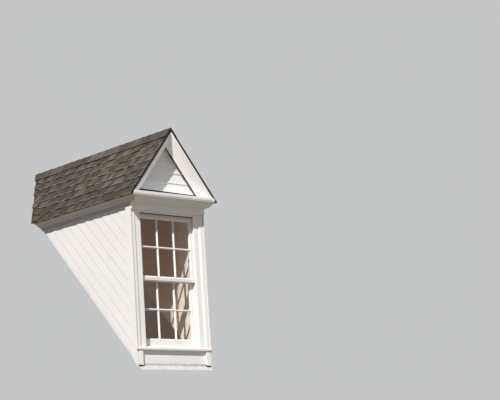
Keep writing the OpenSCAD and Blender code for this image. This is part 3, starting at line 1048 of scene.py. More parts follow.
@dataclass
class ShingledRoof:
    """The two shingled slopes, the ridge cap and the metal edging along the rakes.

    A course is a row of plain strips with a row of teeth on it. The first one lies at the eave.
    A tone is a middle and a spread, a skew is the spread of a turn in degrees, and a slack is how
    far a piece may lie off its place.
    """

    scattering: Scattering
    exposure: float = 131.5
    first_course: float = 134.0
    last_course: float = 30.0
    length: float = 160.0
    base: float = 3.5
    tooth: float = 6.5
    course_shade: float = 0.08
    strip: tuple[float, float] = (210.0, 330.0)
    strip_joint: float = 1.5
    strip_back: float = 1.0
    strip_tone: tuple[float, float] = (0.42, 0.1)
    strip_skew: float = 0.1
    tooth_width: tuple[float, float] = (80.0, 190.0)
    tooth_tone: tuple[float, float] = (0.56, 0.2)
    tooth_skew: float = 0.25
    tooth_slack: float = 1.0
    slot_width: tuple[float, float] = (45.0, 150.0)
    tooth_drops: tuple[float, ...] = (0.0, 0.0, 1.5, -2.0)
    eave_drip: float = 22.0
    stand_off: float = 0.8
    ragged: float = 2.2
    sweep: float = 230.0
    sweep_rise: float = 55.0
    felt_top: float = 8.0
    felt_foot: float = 12.0
    felt_short: float = 3.0
    felt_tone: float = 0.1
    cap_thick: float = 5.0
    cap_width: float = 136.0
    cap_length: float = 165.0
    cap_exposure: float = 140.0
    cap_fall: float = 6.5
    cap_bend: float = 12.0
    cap_flat: float = 4.0
    cap_sag: float = 0.36
    cap_over: float = 6.0
    cap_lift: float = 4.0
    cap_ahead: float = 60.0
    cap_slack: tuple[float, float] = (2.0, 1.5)
    cap_narrow: tuple[float, float] = (-0.05, 0.03)
    cap_skew: tuple[float, float] = (0.5, 0.3)
    cap_tone: tuple[float, float] = (0.2, 0.9)
    cap_ragged: float = 2.0
    edge_depth: float = 24.0
    edge_thick: float = 4.0
    edge_hem: float = 6.0
    edge_kick: Point2 = (1.2, 0.8)
    edge_lap: float = 0.6

    def slope(self, side: int) -> Matrix:
        """The move to the dormer from a flat layout: X down the slope, Y back, Z out of it."""
        cosine, sine = math.cos(SIZES.gable_pitch), math.sin(SIZES.gable_pitch)
        return Matrix(((side * cosine, 0.0, side * sine, 0.0), (0.0, 1.0, 0.0, 0.0),
                       (-sine, 0.0, cosine, SIZES.ridge), (0.0, 0.0, 0.0, 1.0)))

    def tab(self) -> bpy.types.Mesh:
        """Makes one shingle, with an eased butt edge at X = 0 and its head towards -X.

        Returns:
            Its mesh, one wide and one thick.
        """
        carving = Carving()
        profile = ((-1.0, -1.0), (0.0, -1.0), (0.0, -0.3), (-0.012, 0.0), (-1.0, 0.0))
        carving.prism([(x * self.length, -0.5, z) for x, z in profile], (0.0, 1.0, 0.0))
        across = [e for e in carving.mesh.edges
                  if abs(e.verts[0].co.y - e.verts[1].co.y) > 0.5]
        bmesh.ops.subdivide_edges(carving.mesh, edges=across, cuts=3, use_grid_fill=True)
        up = carving.mesh.verts.layers.float.new("up")
        for vert in carving.mesh.verts:
            vert[up] = -vert.co.x / self.length
        return carving.to_shape("tab")

    def spots(self, seed: int) -> list[Spot]:
        """Lays out the shingles of one slope, course by course from the eave.

        Args:
            seed: the seed of their widths, tones and places.

        Returns:
            The places of the strips and of the teeth on them.
        """
        dice = random.Random(seed)
        edge = SIZES.eave_reach / math.cos(SIZES.gable_pitch) + self.eave_drip
        tilt = math.asin((self.base + self.tooth) / self.exposure)
        result: list[Spot] = []
        course = 0
        while edge > self.last_course:
            shade = dice.uniform(-self.course_shade, self.course_shade)
            y = SIZES.roof_front - dice.uniform(20.0, self.strip[1])
            while y < SIZES.back_y:
                width = dice.uniform(*self.strip)
                tone = min(1.0, max(0.0, dice.gauss(*self.strip_tone) + shade))
                turn = (0.0, -tilt, math.radians(dice.gauss(0.0, self.strip_skew)))
                result.append(Spot((edge - self.strip_back, y + width / 2, -self.tooth),
                                   (1.0, width - self.strip_joint, self.base), turn, tone))
                y += width
            y = SIZES.roof_front - dice.uniform(0.0, self.tooth_width[1])
            while y < SIZES.back_y:
                width = dice.uniform(*self.tooth_width)
                drop = 0.0 if course == 0 else dice.choice(self.tooth_drops)
                tone = min(1.0, max(0.0, dice.gauss(*self.tooth_tone) + shade))
                place = (edge + drop, y + width / 2, -dice.uniform(0.0, self.tooth_slack))
                turn = (0.0, -tilt, math.radians(dice.gauss(0.0, self.tooth_skew)))
                result.append(Spot(place, (1.0, width, self.tooth), turn, tone))
                y += width + dice.uniform(*self.slot_width)
            edge -= self.first_course if course == 0 else self.exposure
            course += 1
        return result

    def swept(self, mesh: bmesh.types.BMesh) -> None:
        """Lifts the ends of the courses up the slope where they are woven into the valley.

        Args:
            mesh: the shingles in the flat layout.
        """
        for vert in mesh.verts:
            height = SIZES.ridge - vert.co.x * math.sin(SIZES.gable_pitch)
            valley = SIZES.roof_setback + height / math.tan(SIZES.roof_pitch)
            share = (vert.co.y - valley + self.sweep) / self.sweep
            if 0.0 < share < 2.0:
                vert.co.x -= self.sweep_rise * min(1.0, share) ** 2

    def build_slope(self, side: int, name: str) -> None:
        """Builds the shingles of one slope over their felt.

        Args:
            side: -1 on the left, 1 on the right.
            name: the side's name.
        """
        finish = SHINGLES[side]
        carving = Carving(self.scattering.run(self.spots(11 + side), self.tab(), finish,
                                              self.stand_off, self.ragged, 5 + side))
        self.swept(carving.mesh)
        carving.mesh.transform(self.slope(side))
        front, foot = SIZES.roof_front, SIZES.eave_reach - self.felt_short
        felt = [Vector((x, front + 1.0, SIZES.on_gable(x, under))) for x, under in (
            (0.0, self.felt_top), (foot, self.felt_top),
            (foot, self.felt_foot), (0.0, self.felt_foot))]
        carving.prism(flipped(felt, side), (0.0, SIZES.back_y - front, 0.0), self.felt_tone)
        carving.turned_out()
        carving.cut((0.0, front, 0.0), (0.0, -1.0, 0.0))
        carving.cut((0.0, 0.0, 0.0), (-float(side), 0.0, 0.0))
        beyond = SIZES.eave_reach + self.eave_drip * math.cos(SIZES.gable_pitch) + 2.0
        carving.cut((side * beyond, 0.0, 0.0), (float(side), 0.0, 0.0))
        carving.cut((0.0, SIZES.roof_setback, 0.0), -SIZES.roof_normal())
        title = f"{name}_shingle_courses"
        show(title, carving.to_mesh(title), finish, [f"{name}_shingles"])

    def cap_piece(self) -> bpy.types.Mesh:
        """Makes one bent piece of the ridge cap, its raised end at Y = 0, its head towards +Y.

        Returns:
            Its mesh.
        """
        carving = Carving()
        cosine, sine = math.cos(SIZES.gable_pitch), math.sin(SIZES.gable_pitch)
        width, bend = self.cap_width, self.cap_bend
        half = [(self.cap_flat, -bend * self.cap_sag), (bend * cosine, -bend * sine),
                (width * cosine, -width * sine)]
        path = [*((-x, z) for x, z in reversed(half)), *half]
        narrower = 1 - self.cap_thick / width * 0.6
        rings = []
        for step in (0.0, 0.25, 0.5, 0.75, 1.0):
            y, fall = step * self.cap_length, self.cap_fall * step
            top = [(x, y, z - fall) for x, z in path]
            low = [(x * narrower, y, z - fall - self.cap_thick) for x, z in reversed(path)]
            rings.append(carving.ring(top + low))
        return carving.loft(rings).to_shape("cap")

    def build_ridge(self) -> None:
        """Builds the ridge cap from bent pieces that lap back along the ridge."""
        dice = random.Random(29)
        top = SIZES.ridge + self.cap_over / math.cos(SIZES.gable_pitch) + self.cap_lift
        (across, under), (roll, turn) = self.cap_slack, self.cap_skew
        spots = []
        y = SIZES.roof_front - self.cap_ahead
        while y < SIZES.back_y:
            place = (dice.uniform(-across, across), y, top - dice.uniform(0.0, under))
            size = (1.0 + dice.uniform(*self.cap_narrow), 1.0, 1.0)
            angles = (0.0, math.radians(dice.gauss(0.0, roll)), math.radians(dice.gauss(0.0, turn)))
            spots.append(Spot(place, size, angles, dice.uniform(*self.cap_tone)))
            y += self.cap_exposure
        carving = Carving(self.scattering.run(spots, self.cap_piece(), SHINGLES[-1],
                                              self.stand_off, self.cap_ragged, 3))
        carving.cut((0.0, SIZES.roof_front, 0.0), (0.0, -1.0, 0.0))
        carving.cut((0.0, SIZES.roof_setback, 0.0), -SIZES.roof_normal())
        title = "ridge_cap_pieces"
        show(title, carving.to_mesh(title), SHINGLES[-1], ["ridge_cap"])

    def build_edging(self, side: int, name: str) -> None:
        """Builds the bent metal edging of one rake: a face with a kicked hem.

        Args:
            side: -1 on the left, 1 on the right.
            name: the side's name.
        """
        carving = Carving()
        back, depth = SIZES.roof_front, self.edge_depth
        face, kick = back - self.edge_thick * 0.5, back - self.edge_thick
        hem = depth - self.edge_hem
        section = ((back, 1.0), (face, 0.0), (face, hem), (kick, depth),
                   (kick + self.edge_kick[0], depth + self.edge_kick[1]),
                   (back + self.edge_lap, hem), (back + self.edge_lap, 1.0))
        reach = SIZES.eave_reach
        top, foot = ([Vector((x * side, y, SIZES.on_gable(x, under))) for y, under in section]
                     for x in (0.0, reach))
        carving.skin(top, foot)
        carving.cut((0.0, 0.0, SIZES.on_gable(reach, depth * 0.6)), (0.0, 0.0, -1.0))
        title = f"{name}_rake_edging"
        show(title, carving.to_mesh(title), EDGING, [f"{name}_drip_edge"])

    def build(self) -> None:
        """Builds the roof's covering."""
        for side, name in SIDES:
            self.build_slope(side, name)
            self.build_edging(side, name)
        self.build_ridge()


# Cladding


@dataclass
class CheekBoards:
    """The lapped boards of the two cheeks, which run up parallel to the roof seat.

    A spread is how far a start, a length or a face may be off.
    """

    courses: int = 11
    exposure: float = 115.0
    step: float = 5.2
    tuck: float = 9.0
    gap: float = 0.5
    clearance: float = 1.0
    first_start: float = -700.0
    last_end: float = 2400.0
    lengths: tuple[float, ...] = (1500.0, 1900.0, 2400.0)
    start_spread: float = 300.0
    length_spread: float = 160.0
    face_spread: float = 0.5
    tones: tuple[float, ...] = (0.0, 0.03, 0.08, 0.12)

    def point(self, along: float, over: float) -> Point2:
        """A point of the cheek so far up along the seat and square over it, as Y and Z."""
        cosine, sine = math.cos(SIZES.roof_pitch), math.sin(SIZES.roof_pitch)
        return SIZES.roof_setback + along * cosine - over * sine, along * sine + over * cosine

    def over(self, point: Point2) -> float:
        """How far a point of the cheek lies square over the foot of the cladding."""
        return (point[1] - SIZES.on_roof(point[0])) * math.cos(SIZES.roof_pitch)

    def face(self, level: float, course: int) -> float:
        """How far the face of a course lies back at a level over the foot of the cladding."""
        return self.step * (level - course * self.exposure) / self.exposure

    def boards(self, seed: int) -> list[tuple[int, float, float]]:
        """Lays out the boards of one cheek.

        Args:
            seed: the seed of their lengths.

        Returns:
            Each board's course, and its start and end along the seat.
        """
        dice = random.Random(seed)
        result = []
        for course in range(self.courses):
            start = self.first_start + dice.uniform(0.0, self.start_spread)
            while start < self.last_end:
                end = start + dice.choice(self.lengths)
                end += dice.uniform(-self.length_spread, self.length_spread)
                result.append((course, start, end))
                start = end
        return result

    def outline(self, course: int, start: float, end: float) -> list[Point2]:
        """The outline of one board, clipped to the cheek.

        Args:
            course: its course, counted from the seat.
            start: where it starts along the seat.
            end: where it ends.

        Returns:
            Its corners as Y and Z, or fewer than three where the cheek has none of it.
        """
        low, high = course * self.exposure, (course + 1) * self.exposure + self.tuck
        outline = [self.point(start + self.gap, low), self.point(end, low),
                   self.point(end, high), self.point(start + self.gap, high)]
        for keep in (lambda p: p[0] - SIZES.corner_board - self.clearance,
                     lambda p: SIZES.side_frieze - self.clearance - p[1], self.over):
            outline = clipped(outline, keep)
        return outline

    def build(self) -> None:
        """Builds both cheeks."""
        for side, name in SIDES:
            carving = Carving()
            dice = random.Random(40 + side)
            for course, start, end in self.boards(50 + side):
                outline = self.outline(course, start, end)
                if len(outline) < 3:
                    continue
                out = SIZES.siding_face + dice.uniform(-self.face_spread, self.face_spread)
                inner = [Vector((SIZES.wall_half, y, z)) for y, z in outline]
                outer = [Vector((out - self.face(self.over((y, z)), course), y, z))
                         for y, z in outline]
                carving.skin(flipped(inner, side), flipped(outer, side), dice.choice(self.tones))
            carving.ease(1.2, 50.0, 1)
            title = f"{name}_cheek_boards"
            show(title, carving.to_mesh(title), PAINT_SIDING_PAINTED_SHADE, [f"{name}_cheek_siding"])


@dataclass
class TympanumBoards:
    """The lapped boards in the pediment, a little short of the soffits and of the cornice."""

    first_lap: float = 1801.0
    exposure: float = 114.0
    thick: float = 16.0
    step: float = 8.0
    tuck: float = 8.0
    half: float = 620.0
    short: float = 10.0
    short_above: float = 15.0
    tones: tuple[float, ...] = (0.0, 0.05, 0.1)

    def build(self) -> None:
        """Builds the boards between the two rakes."""
        carving = Carving()
        steep = math.tan(SIZES.gable_pitch)
        top = SIZES.on_gable(0.0, SIZES.rake_soffit + self.short_above)
        low = self.first_lap - self.exposure
        dice = random.Random(61)
        while low < top:
            high = low + self.exposure
            outline = rectangle(-self.half, self.half, low, high + self.tuck)
            for keep in (lambda p: p[1] - SIZES.fillet_top - self.short,
                         lambda p: top - p[1] - p[0] * steep,
                         lambda p: top - p[1] + p[0] * steep):
                outline = clipped(outline, keep)
            if len(outline) >= 3:
                face = SIZES.frame_y - self.thick
                back = [Vector((x, SIZES.frame_y, z)) for x, z in outline]
                front = [Vector((x, face + self.step * (z - low) / self.exposure, z))
                         for x, z in outline]
                carving.skin(back, front, dice.choice(self.tones))
            low = high
        carving.ease(1.0, 50.0, 1)
        show("pediment_boards", carving.to_mesh("pediment_boards"), PAINT_GABLE_SHADE_TINT, ["tympanum"])


@dataclass
class NailHeads:
    """Painted nail heads on the boards of the cheeks."""

    scattering: Scattering
    studs: int = 5
    first_stud: float = 25.0
    spacing: float = 406.0
    edge: float = 22.0
    wander: tuple[float, float] = (6.0, 5.0)
    below_frieze: float = 14.0
    above_foot: float = 12.0
    radius: float = 3.6
    height: float = 0.9
    crown: float = 0.72
    sunk: float = 0.4
    tone: float = 0.15

    def head(self) -> bpy.types.Mesh:
        """Makes one low round head, seen along X.

        Returns:
            Its mesh.
        """
        carving = Carving()
        ring = [Vector((0.0, self.radius * math.cos(a), self.radius * math.sin(a)))
                for a in (k * math.pi / 4 for k in range(8))]
        inner = [Vector((self.height, p.y * self.crown, p.z * self.crown)) for p in ring]
        carving.skin([p - Vector((1.0, 0.0, 0.0)) for p in ring], ring)
        carving.skin(ring, inner)
        bmesh.ops.remove_doubles(carving.mesh, verts=carving.mesh.verts, dist=0.01)
        inside = [f for f in carving.mesh.faces
                  if len(f.verts) == len(ring) and all(abs(v.co.x) < 0.01 for v in f.verts)]
        bmesh.ops.delete(carving.mesh, geom=inside, context="FACES_ONLY")
        return carving.to_shape("head")

    def build(self, cheeks: CheekBoards) -> None:
        """Sets the nails in one row over each stud, near the lower edge of each board.

        Args:
            cheeks: the boards that they hold.
        """
        aside, upward = self.wander
        for side, name in SIDES:
            dice = random.Random(70 + side)
            turn = (0.0, 0.0 if side > 0 else math.pi, 0.0)
            spots = []
            for course in range(cheeks.courses):
                over = course * cheeks.exposure + self.edge
                for stud in range(self.studs):
                    y = SIZES.corner_board + self.first_stud + stud * self.spacing
                    z = SIZES.on_roof(y, over)
                    y, z = y + dice.uniform(-aside, aside), z + dice.uniform(-upward, upward)
                    level = cheeks.over((y, z))
                    if z > SIZES.side_frieze - self.below_frieze or level < self.above_foot:
                        continue
                    face = SIZES.siding_face - cheeks.face(level, course)
                    place = (side * (face - self.sunk), y, z)
                    spots.append(Spot(place, turn=turn, tone=self.tone))
            mesh = self.scattering.run(spots, self.head(), PAINT_SIDING_PAINTED_SHADE, seed=2)
            mesh.transform(TO_FRAME)
            soften(mesh, 40.0)
            show(f"{name}_cheek_nails", mesh, PAINT_SIDING_PAINTED_SHADE)


# Window


@dataclass(frozen=True)
class Sash:
    """One sash: its front face, its foot and top, its two rails, and its flat bar's height."""

    name: str
    y: float
    low: float
    high: float
    low_rail: float
    high_rail: float
    across: float


@dataclass
class SashWindow:
    """The two sashes with their bars and panes, and the casing around them.

    A horizontal bar shows less of its height than an upright one does of its width, which
    flat_bar gives as a share. The moulded edge of a stile or rail has three faces: its depth from
    the front, its step's width and depth, and its whole width.
    """

    upper: Sash = Sash("upper", 57.0, 791.0, 1547.0, 42.0, 56.0, 1164.0)
    lower: Sash = Sash("lower", 102.0, 65.0, 833.0, 73.0, 42.0, 470.0)
    half: float = 391.0
    sight: float = 348.0
    thick: float = 35.0
    mould_depth: float = 9.0
    mould_step: Point2 = (4.0, 3.0)
    mould_width: float = 6.0
    rail_back: float = 0.4
    rail_end: float = 5.0
    rail_seam: float = 0.35
    bar: float = 16.0
    bar_face: float = 6.0
    bar_nose: float = 2.0
    bar_heel: float = 3.0
    bar_tail: float = 1.0
    bar_seam: float = 0.15
    bar_lap: float = 1.0
    flat_bar: float = 0.72
    bar_x: float = 118.8
    glass: float = 4.0
    putty_wide: float = 7.0
    putty_foot: float = 0.2
    pane_half: float = 1.4
    pane_tilt: float = 0.0016
    pane_wave: float = 0.35
    pane_cells: int = 4
    pane_seed: int = 85
    pane_tuck: float = 3.0
    sill_front: float = 28.0
    sill_back: float = 65.0
    sill_nose: float = 9.0
    casing_in: float = 386.0
    casing_head: float = 1542.0
    casing_seam: float = 0.4
    head: float = 1568.0

    def sill_top(self, y: float) -> float:
        """Height of the sloped top of the sill."""
        rise = self.sill_back - self.sill_front
        return self.sill_front + (y + self.sill_nose) * rise / (self.lower.y + self.sill_nose)

    def frame(self, carving: Carving, sash: Sash) -> None:
        """Adds the stiles and rails of a sash, with moulded inner edges.

        Args:
            carving: the sash's joinery.
            sash: the sash.
        """
        y, back, inside = sash.y, sash.y + self.thick, self.sight
        step_wide, step_deep = self.mould_step
        stile = ((self.half, y), (self.half, back), (inside, back), (inside, y + self.mould_depth),
                 (inside + step_wide, y + step_deep), (inside + self.mould_width, y))
        for side in (-1, 1):
            carving.prism([(side * x, yy, sash.low) for x, yy in stile],
                          (0.0, 0.0, sash.high - sash.low))
        near, far = y + self.rail_back, back - self.rail_back
        end = inside + self.rail_end - self.rail_seam
        for outer, edge, way in ((sash.low, sash.low + sash.low_rail, 1),
                                 (sash.high, sash.high - sash.high_rail, -1)):
            rail = ((near, outer), (far, outer), (far, edge), (y + self.mould_depth, edge),
                    (y + step_deep, edge - way * step_wide), (near, edge - way * self.mould_width))
            carving.prism([(-end, yy, zz) for yy, zz in rail], (2 * end, 0.0, 0.0))

    def bars(self, carving: Carving, sash: Sash, low: float, high: float) -> None:
        """Adds the glazing bars: a flat nose and two slopes of putty down to the glass.

        Args:
            carving: the sash's joinery.
            sash: the sash.
            low: the top of its lower rail.
            high: the foot of its upper rail.
        """
        middle, heel = sash.y + self.thick / 2, sash.y + self.thick - self.bar_heel
        nose, wide, narrow = sash.y + self.bar_nose, self.bar / 2, self.bar_face / 2
        near, far, tail = middle - self.bar_heel, middle + self.bar_heel, narrow + self.bar_tail
        section = ((-narrow, nose), (narrow, nose), (wide, near), (wide, far),
                   (tail, heel), (-tail, heel), (-wide, far), (-wide, near))
        for x in (-self.bar_x, self.bar_x):
            carving.prism([(x + s, yy, low) for s, yy in section], (0.0, 0.0, high - low))
        flat = [(-self.sight, yy + self.bar_seam, sash.across + s * self.flat_bar)
                for s, yy in section]
        carving.prism(flat, (2 * self.sight, 0.0, 0.0))

    def putty(self, carving: Carving, sash: Sash, spans: Sequence[Span]) -> None:
        """Adds the sloped putty round each pane.

        Args:
            carving: the sash's joinery.
            sash: the sash.
            spans: the openings between its bars.
        """
        wide = self.putty_wide
        middle = sash.y + self.thick / 2 - self.glass / 2
        ridge, foot = middle - wide, middle - self.putty_foot
        for x0, x1, z0, z1 in spans:
            outer = rectangle(x0, x1, z0, z1)
            inner = rectangle(x0 + wide, x1 - wide, z0 + wide, z1 - wide)
            for i in range(4):
                j = (i + 1) % 4
                a, b, c, d, e, f = carving.ring([(x, yy, z) for (x, z), yy in (
                    (outer[i], ridge), (outer[j], ridge), (outer[j], foot),
                    (inner[j], foot), (inner[i], foot), (outer[i], foot))])
                for corners in ((a, b, d, e), (a, f, c, b), (f, e, d, c), (a, e, f), (b, c, d)):
                    carving.mesh.faces.new(corners)

    def panes(self, sash: Sash, spans: Sequence[Span]) -> Carving:
        """Makes the panes of a sash, each set a little out of true.

        Args:
            sash: the sash.
            spans: the outlines of its panes.

        Returns:
            The carving of the panes.
        """
        dice = random.Random(self.pane_seed)
        carving = Carving()
        middle, cells = sash.y + self.thick / 2, self.pane_cells
        row = cells + 1
        for x0, x1, z0, z1 in spans:
            tilt_x, tilt_z = dice.gauss(0.0, self.pane_tilt), dice.gauss(0.0, self.pane_tilt)
            cx, cz = (x0 + x1) / 2, (z0 + z1) / 2
            grid = []
            for face in (-self.pane_half, self.pane_half):
                points = []
                for i in range(row):
                    for j in range(row):
                        x, z = x0 + (x1 - x0) * i / cells, z0 + (z1 - z0) * j / cells
                        spot = Vector((x / 190.0, z / 150.0, self.pane_seed))
                        wave = self.pane_wave * value_noise.noise(spot)
                        y = middle + face + (x - cx) * tilt_x + (z - cz) * tilt_z + wave
                        points.append((x, y, z))
                grid.append(carving.ring(points))
            front, back = grid
            for i in range(cells):
                for j in range(cells):
                    k = i * row + j
                    for face, corners in ((front, (k, k + 1, k + row + 1, k + row)),
                                          (back, (k, k + row, k + row + 1, k + 1))):
                        carving.mesh.faces.new([face[c] for c in corners])
            rim = ([i * row for i in range(row)] + [cells * row + j for j in range(1, row)]
                   + [i * row + cells for i in range(cells - 1, -1, -1)]
                   + list(range(cells - 1, 0, -1)))
            for a, b in zip(rim, rim[1:] + rim[:1]):
                carving.mesh.faces.new((front[a], front[b], back[b], back[a]))
        return carving

    def spans(self, low: float, high: float, across: float) -> list[Span]:
        """The openings between the bars of a sash.

        Args:
            low: the top of its lower rail.
            high: the foot of its upper rail.
            across: the height of its flat bar.

        Returns:
            Each opening as x0, x1, z0, z1.
        """
        wide = self.bar / 2 - self.bar_lap
        flat = self.flat_bar * self.bar / 2 - self.bar_lap
        columns = ((-self.sight, -self.bar_x - wide), (-self.bar_x + wide, self.bar_x - wide),
                   (self.bar_x + wide, self.sight))
        return [(x0, x1, z0, z1) for x0, x1 in columns
                for z0, z1 in ((low, across - flat), (across + flat, high))]

    def build_sash(self, sash: Sash) -> None:
        """Builds one sash with its bars, putty and panes.

        Args:
            sash: the sash.
        """
        low, high, tuck = sash.low + sash.low_rail, sash.high - sash.high_rail, self.pane_tuck
        spans = self.spans(low, high, sash.across)
        carving = Carving()
        self.frame(carving, sash)
        self.bars(carving, sash, low, high)
        carving.ease(1.0, 40.0, 1)
        self.putty(carving, sash, spans)
        title = f"{sash.name}_sash_joinery"
        show(title, carving.to_mesh(title), PAINT_UP, [f"{sash.name}_sash"])
        grown = [(x0 - tuck, x1 + tuck, z0 - tuck, z1 + tuck) for x0, x1, z0, z1 in spans]
        title = f"{sash.name}_panes"
        show(title, self.panes(sash, grown).to_mesh(title, 60.0), GLASS, [f"{sash.name}_glass"])

    def build_casing(self) -> None:
        """Builds the casing from two uprights and a head board."""
        carving = Carving()
        inner, outer = self.casing_in, SIZES.pilaster_in
        y0, y1 = SIZES.casing_y, SIZES.frame_y
        top = self.casing_head - self.casing_seam
        for side in (-1, 1):
            corners = ((inner, y0), (outer, y0), (outer, y1), (inner, y1))
            low = [Vector((side * x, y, self.sill_top(y))) for x, y in corners]
            high = [Vector((side * x, y, top)) for x, y in corners]
            carving.skin(low, high)
        carving.board((-outer, y0, self.casing_head), (outer, y1, self.head), 0.05)
        carving.ease(1.5)
        show("casing_boards", carving.to_mesh("casing_boards"), PAINT_FRONT_PAINTED_LIGHT, ["window_casing"])

    def build(self) -> None:
        """Builds the window."""
        for sash in (self.upper, self.lower):
            self.build_sash(sash)
        self.build_casing()


# The rest of the joinery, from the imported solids


def paired(finishes: dict[str, Finish]) -> dict[str, Finish]:
    """The finishes by node, where a name with a star stands for one on the left and right."""
    return {name.replace("*", side): finish for name, finish in finishes.items()
            for _, side in (SIDES if "*" in name else SIDES[:1])}


PAINTED = paired({
    "*_pilaster": PAINT_FRONT_PAINTED_LIGHT, "*_base_block": PAINT_FRONT_PAINTED_LIGHT, "*_corner_board": PAINT_UP,
    "*_frieze": PAINT_UNDER_EAVE_PAINTED_SHADE, "front_frieze": PAINT_FRIEZE_PAINTED_LIGHT, "front_crown": PAINT_ACROSS,
    "*_eave_crown": PAINT_EAVE_PAINTED_SHADE, "*_rake_crown": PAINT_RAKE_PAINTED_LIGHT, "front_soffit": PAINT_ACROSS,
    "cornice_cap": PAINT_APRON_PAINTED_LIGHT, "window_sill": PAINT_ACROSS, "apron_panel": PAINT_APRON_PAINTED_LIGHT,
    "window_frame": PAINT_UP})
BARE = paired({
    "front_sole_plate": LINING, "*_curb": LINING, "*_corner_post": TIMBER_UP,
    "window_header": TIMBER_ACROSS, "*_cheek_wall": LINING, "under_sill_wall": LINING,
    "gable_wall": LINING, "*_roof_deck": ROOF_BOARDS})


@dataclass
class EasedSolids:
    """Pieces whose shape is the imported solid's own, with their sharp edges eased."""

    width: float = 1.6
    sharp: float = 33.0
    joint: float = 4.0
    pilaster_back: float = 11.0
    nose: Point2 = (-9.0, 0.0)
    nose_chamfer: float = 7.0
    block_foot: float = -1.0
    smooth_curved: float = 24.0
    smooth_flat: float = 8.0
    painted: dict[str, Finish] = field(default_factory=lambda: dict(PAINTED))
    bare: dict[str, Finish] = field(default_factory=lambda: dict(BARE))

    def moves(self, name: str) -> Callable[[Vector], Vector]:
        """How the points of a piece move, so that its joints stand open as old joinery's do.

        Args:
            name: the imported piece.

        Returns:
            A function that gives the move of a point of the model's frame.
        """
        nose = framed((0.0, *self.nose))
        foot = framed((0.0, 0.0, self.block_foot))

        def corner(place: Vector) -> Vector:
            """Opens the joint between the corner board and the pilaster."""
            hit = abs(abs(place.x) - SIZES.pilaster_edge * MM) < MM
            return Vector((math.copysign(self.joint * MM if hit else 0.0, place.x), 0.0, 0.0))

        def pilaster(place: Vector) -> Vector:
            """Sets the face of a pilaster back behind the corner board."""
            hit = abs(place.y - foot.y) < MM
            return Vector((0.0, self.pilaster_back * MM if hit else 0.0, 0.0))

        def block(place: Vector) -> Vector:
            """Ends a base block above the flashing."""
            return Vector((0.0, 0.0, SIZES.block_lift * MM if place.z < foot.z else 0.0))

        def sill(place: Vector) -> Vector:
            """Cuts the lower front edge of the sill back."""
            hit = abs(place.y - nose.y) < MM and abs(place.z - nose.z) < MM
            return Vector((0.0, 0.0, self.nose_chamfer * MM if hit else 0.0))

        for ending, move in (("corner_board", corner), ("pilaster", pilaster),
                             ("base_block", block), ("window_sill", sill)):
            if name.endswith(ending):
                return move
        return lambda place: Vector()

    def eased(self, source: bpy.types.Mesh, move: Callable[[Vector], Vector],
              smooth: float) -> bpy.types.Mesh | None:
        """Makes an eased copy of a solid's mesh.

        Args:
            source: the solid's mesh.
            move: how its points move first.
            smooth: the angle in degrees up to which an edge is shaded smooth.

        Returns:
            The copy, or None where easing would spoil it.
        """
        work = bmesh.new()
        work.from_mesh(source)
        for vert in work.verts:
            vert.co += move(vert.co)
        bmesh.ops.remove_doubles(work, verts=work.verts, dist=1e-5)
        bmesh.ops.dissolve_limit(work, angle_limit=math.radians(0.4), verts=work.verts,
                                 edges=work.edges)
        volume = work.calc_volume()
        bevel(work, self.width * MM, self.sharp, 2)
        closed = all(e.is_manifold for e in work.edges)
        kept = abs(work.calc_volume() / volume - 1.0) < 0.03
        mesh = bpy.data.meshes.new("eased")
        work.to_mesh(mesh)
        work.free()
        soften(mesh, smooth)
        return mesh if closed and kept else None

    def build(self, nodes: dict[str, bpy.types.Object]) -> None:
        """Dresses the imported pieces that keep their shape.

        Args:
            nodes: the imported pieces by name.
        """
        for name, finish in self.painted.items():
            smooth = self.smooth_curved if name.endswith("crown") else self.smooth_flat
            mesh = self.eased(nodes[name].data, self.moves(name), smooth)
            if mesh is None:
                log.warning("%s keeps its packed solid", name)
                self.dress(nodes[name], finish)
            else:
                show(f"{name}_eased", mesh, finish, [name])
        for name, finish in self.bare.items():
            self.dress(nodes[name], finish)

    @staticmethod
    def dress(node: bpy.types.Object, finish: Finish) -> None:
        """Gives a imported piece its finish."""
        node.data.materials.clear()
        node.data.materials.append(finish.material())


@dataclass
class ShadeStrips:
    """Dark strips in the open joints of the front: painted shade, as dark sheets where the joints
    lie in shade.

    They lie behind the base blocks' feet, over the window's head, along the foot of the
    pediment's boards and along its two rakes.
    """

    back: float = 43.0
    foot_front: float = 12.0
    foot_wide: tuple[float, float] = (2.0, 3.0)
    foot_over: float = 4.0
    foot_high: float = 16.0
    foot_rise: float = 0.5
    head_front: float = 26.0
    head_half: float = 380.0
    head_from: float = 1536.0
    head_to: float = 1543.5
    gable_front: float = 22.0
    gable_half: float = 450.0
    gable_from: float = 1792.0
    gable_to: tuple[float, float] = (1816.0, 1802.0)
    rake_run: tuple[float, float] = (3.0, 470.0)
    rake_under: tuple[float, float] = (79.0, 91.0)

    def build(self) -> None:
        """Builds the strips."""
        # painted shade: dark sheets where the joints of the front lie in shade
        carving = Carving()
        inner, outer = (edge + wide for edge, wide in zip(
            (SIZES.pilaster_in, SIZES.pilaster_edge), self.foot_wide))
        top = SIZES.on_roof(0.0) + SIZES.block_lift + self.foot_high
        for side in (-1, 1):
            foot = [Vector((side * x, y, SIZES.on_roof(y, self.foot_over)))
                    for x, y in rectangle(inner, outer, self.foot_front, self.back)]
            head = [Vector((p.x, p.y, top + self.foot_rise * (p.y - self.foot_front)))
                    for p in foot]
            carving.skin(foot, head)
        carving.board((-self.head_half, self.head_front, self.head_from),
                      (self.head_half, self.back, self.head_to))
        front, low = self.gable_front, self.gable_from
        ends = ([Vector((x, y, z)) for y, z in (
            (front, low), (front, high), (self.back, high), (self.back, low))]
            for x, high in zip((-self.gable_half, self.gable_half), self.gable_to))
        carving.skin(*ends)
        for side in (-1, 1):
            edge = [(side * x, front, SIZES.on_gable(x, under))
                    for x, under in rectangle(*self.rake_run, *self.rake_under)]
            carving.prism(edge, (0.0, self.back - front, 0.0))
        show("felt_strips", carving.to_mesh("felt_strips"), EDGING)


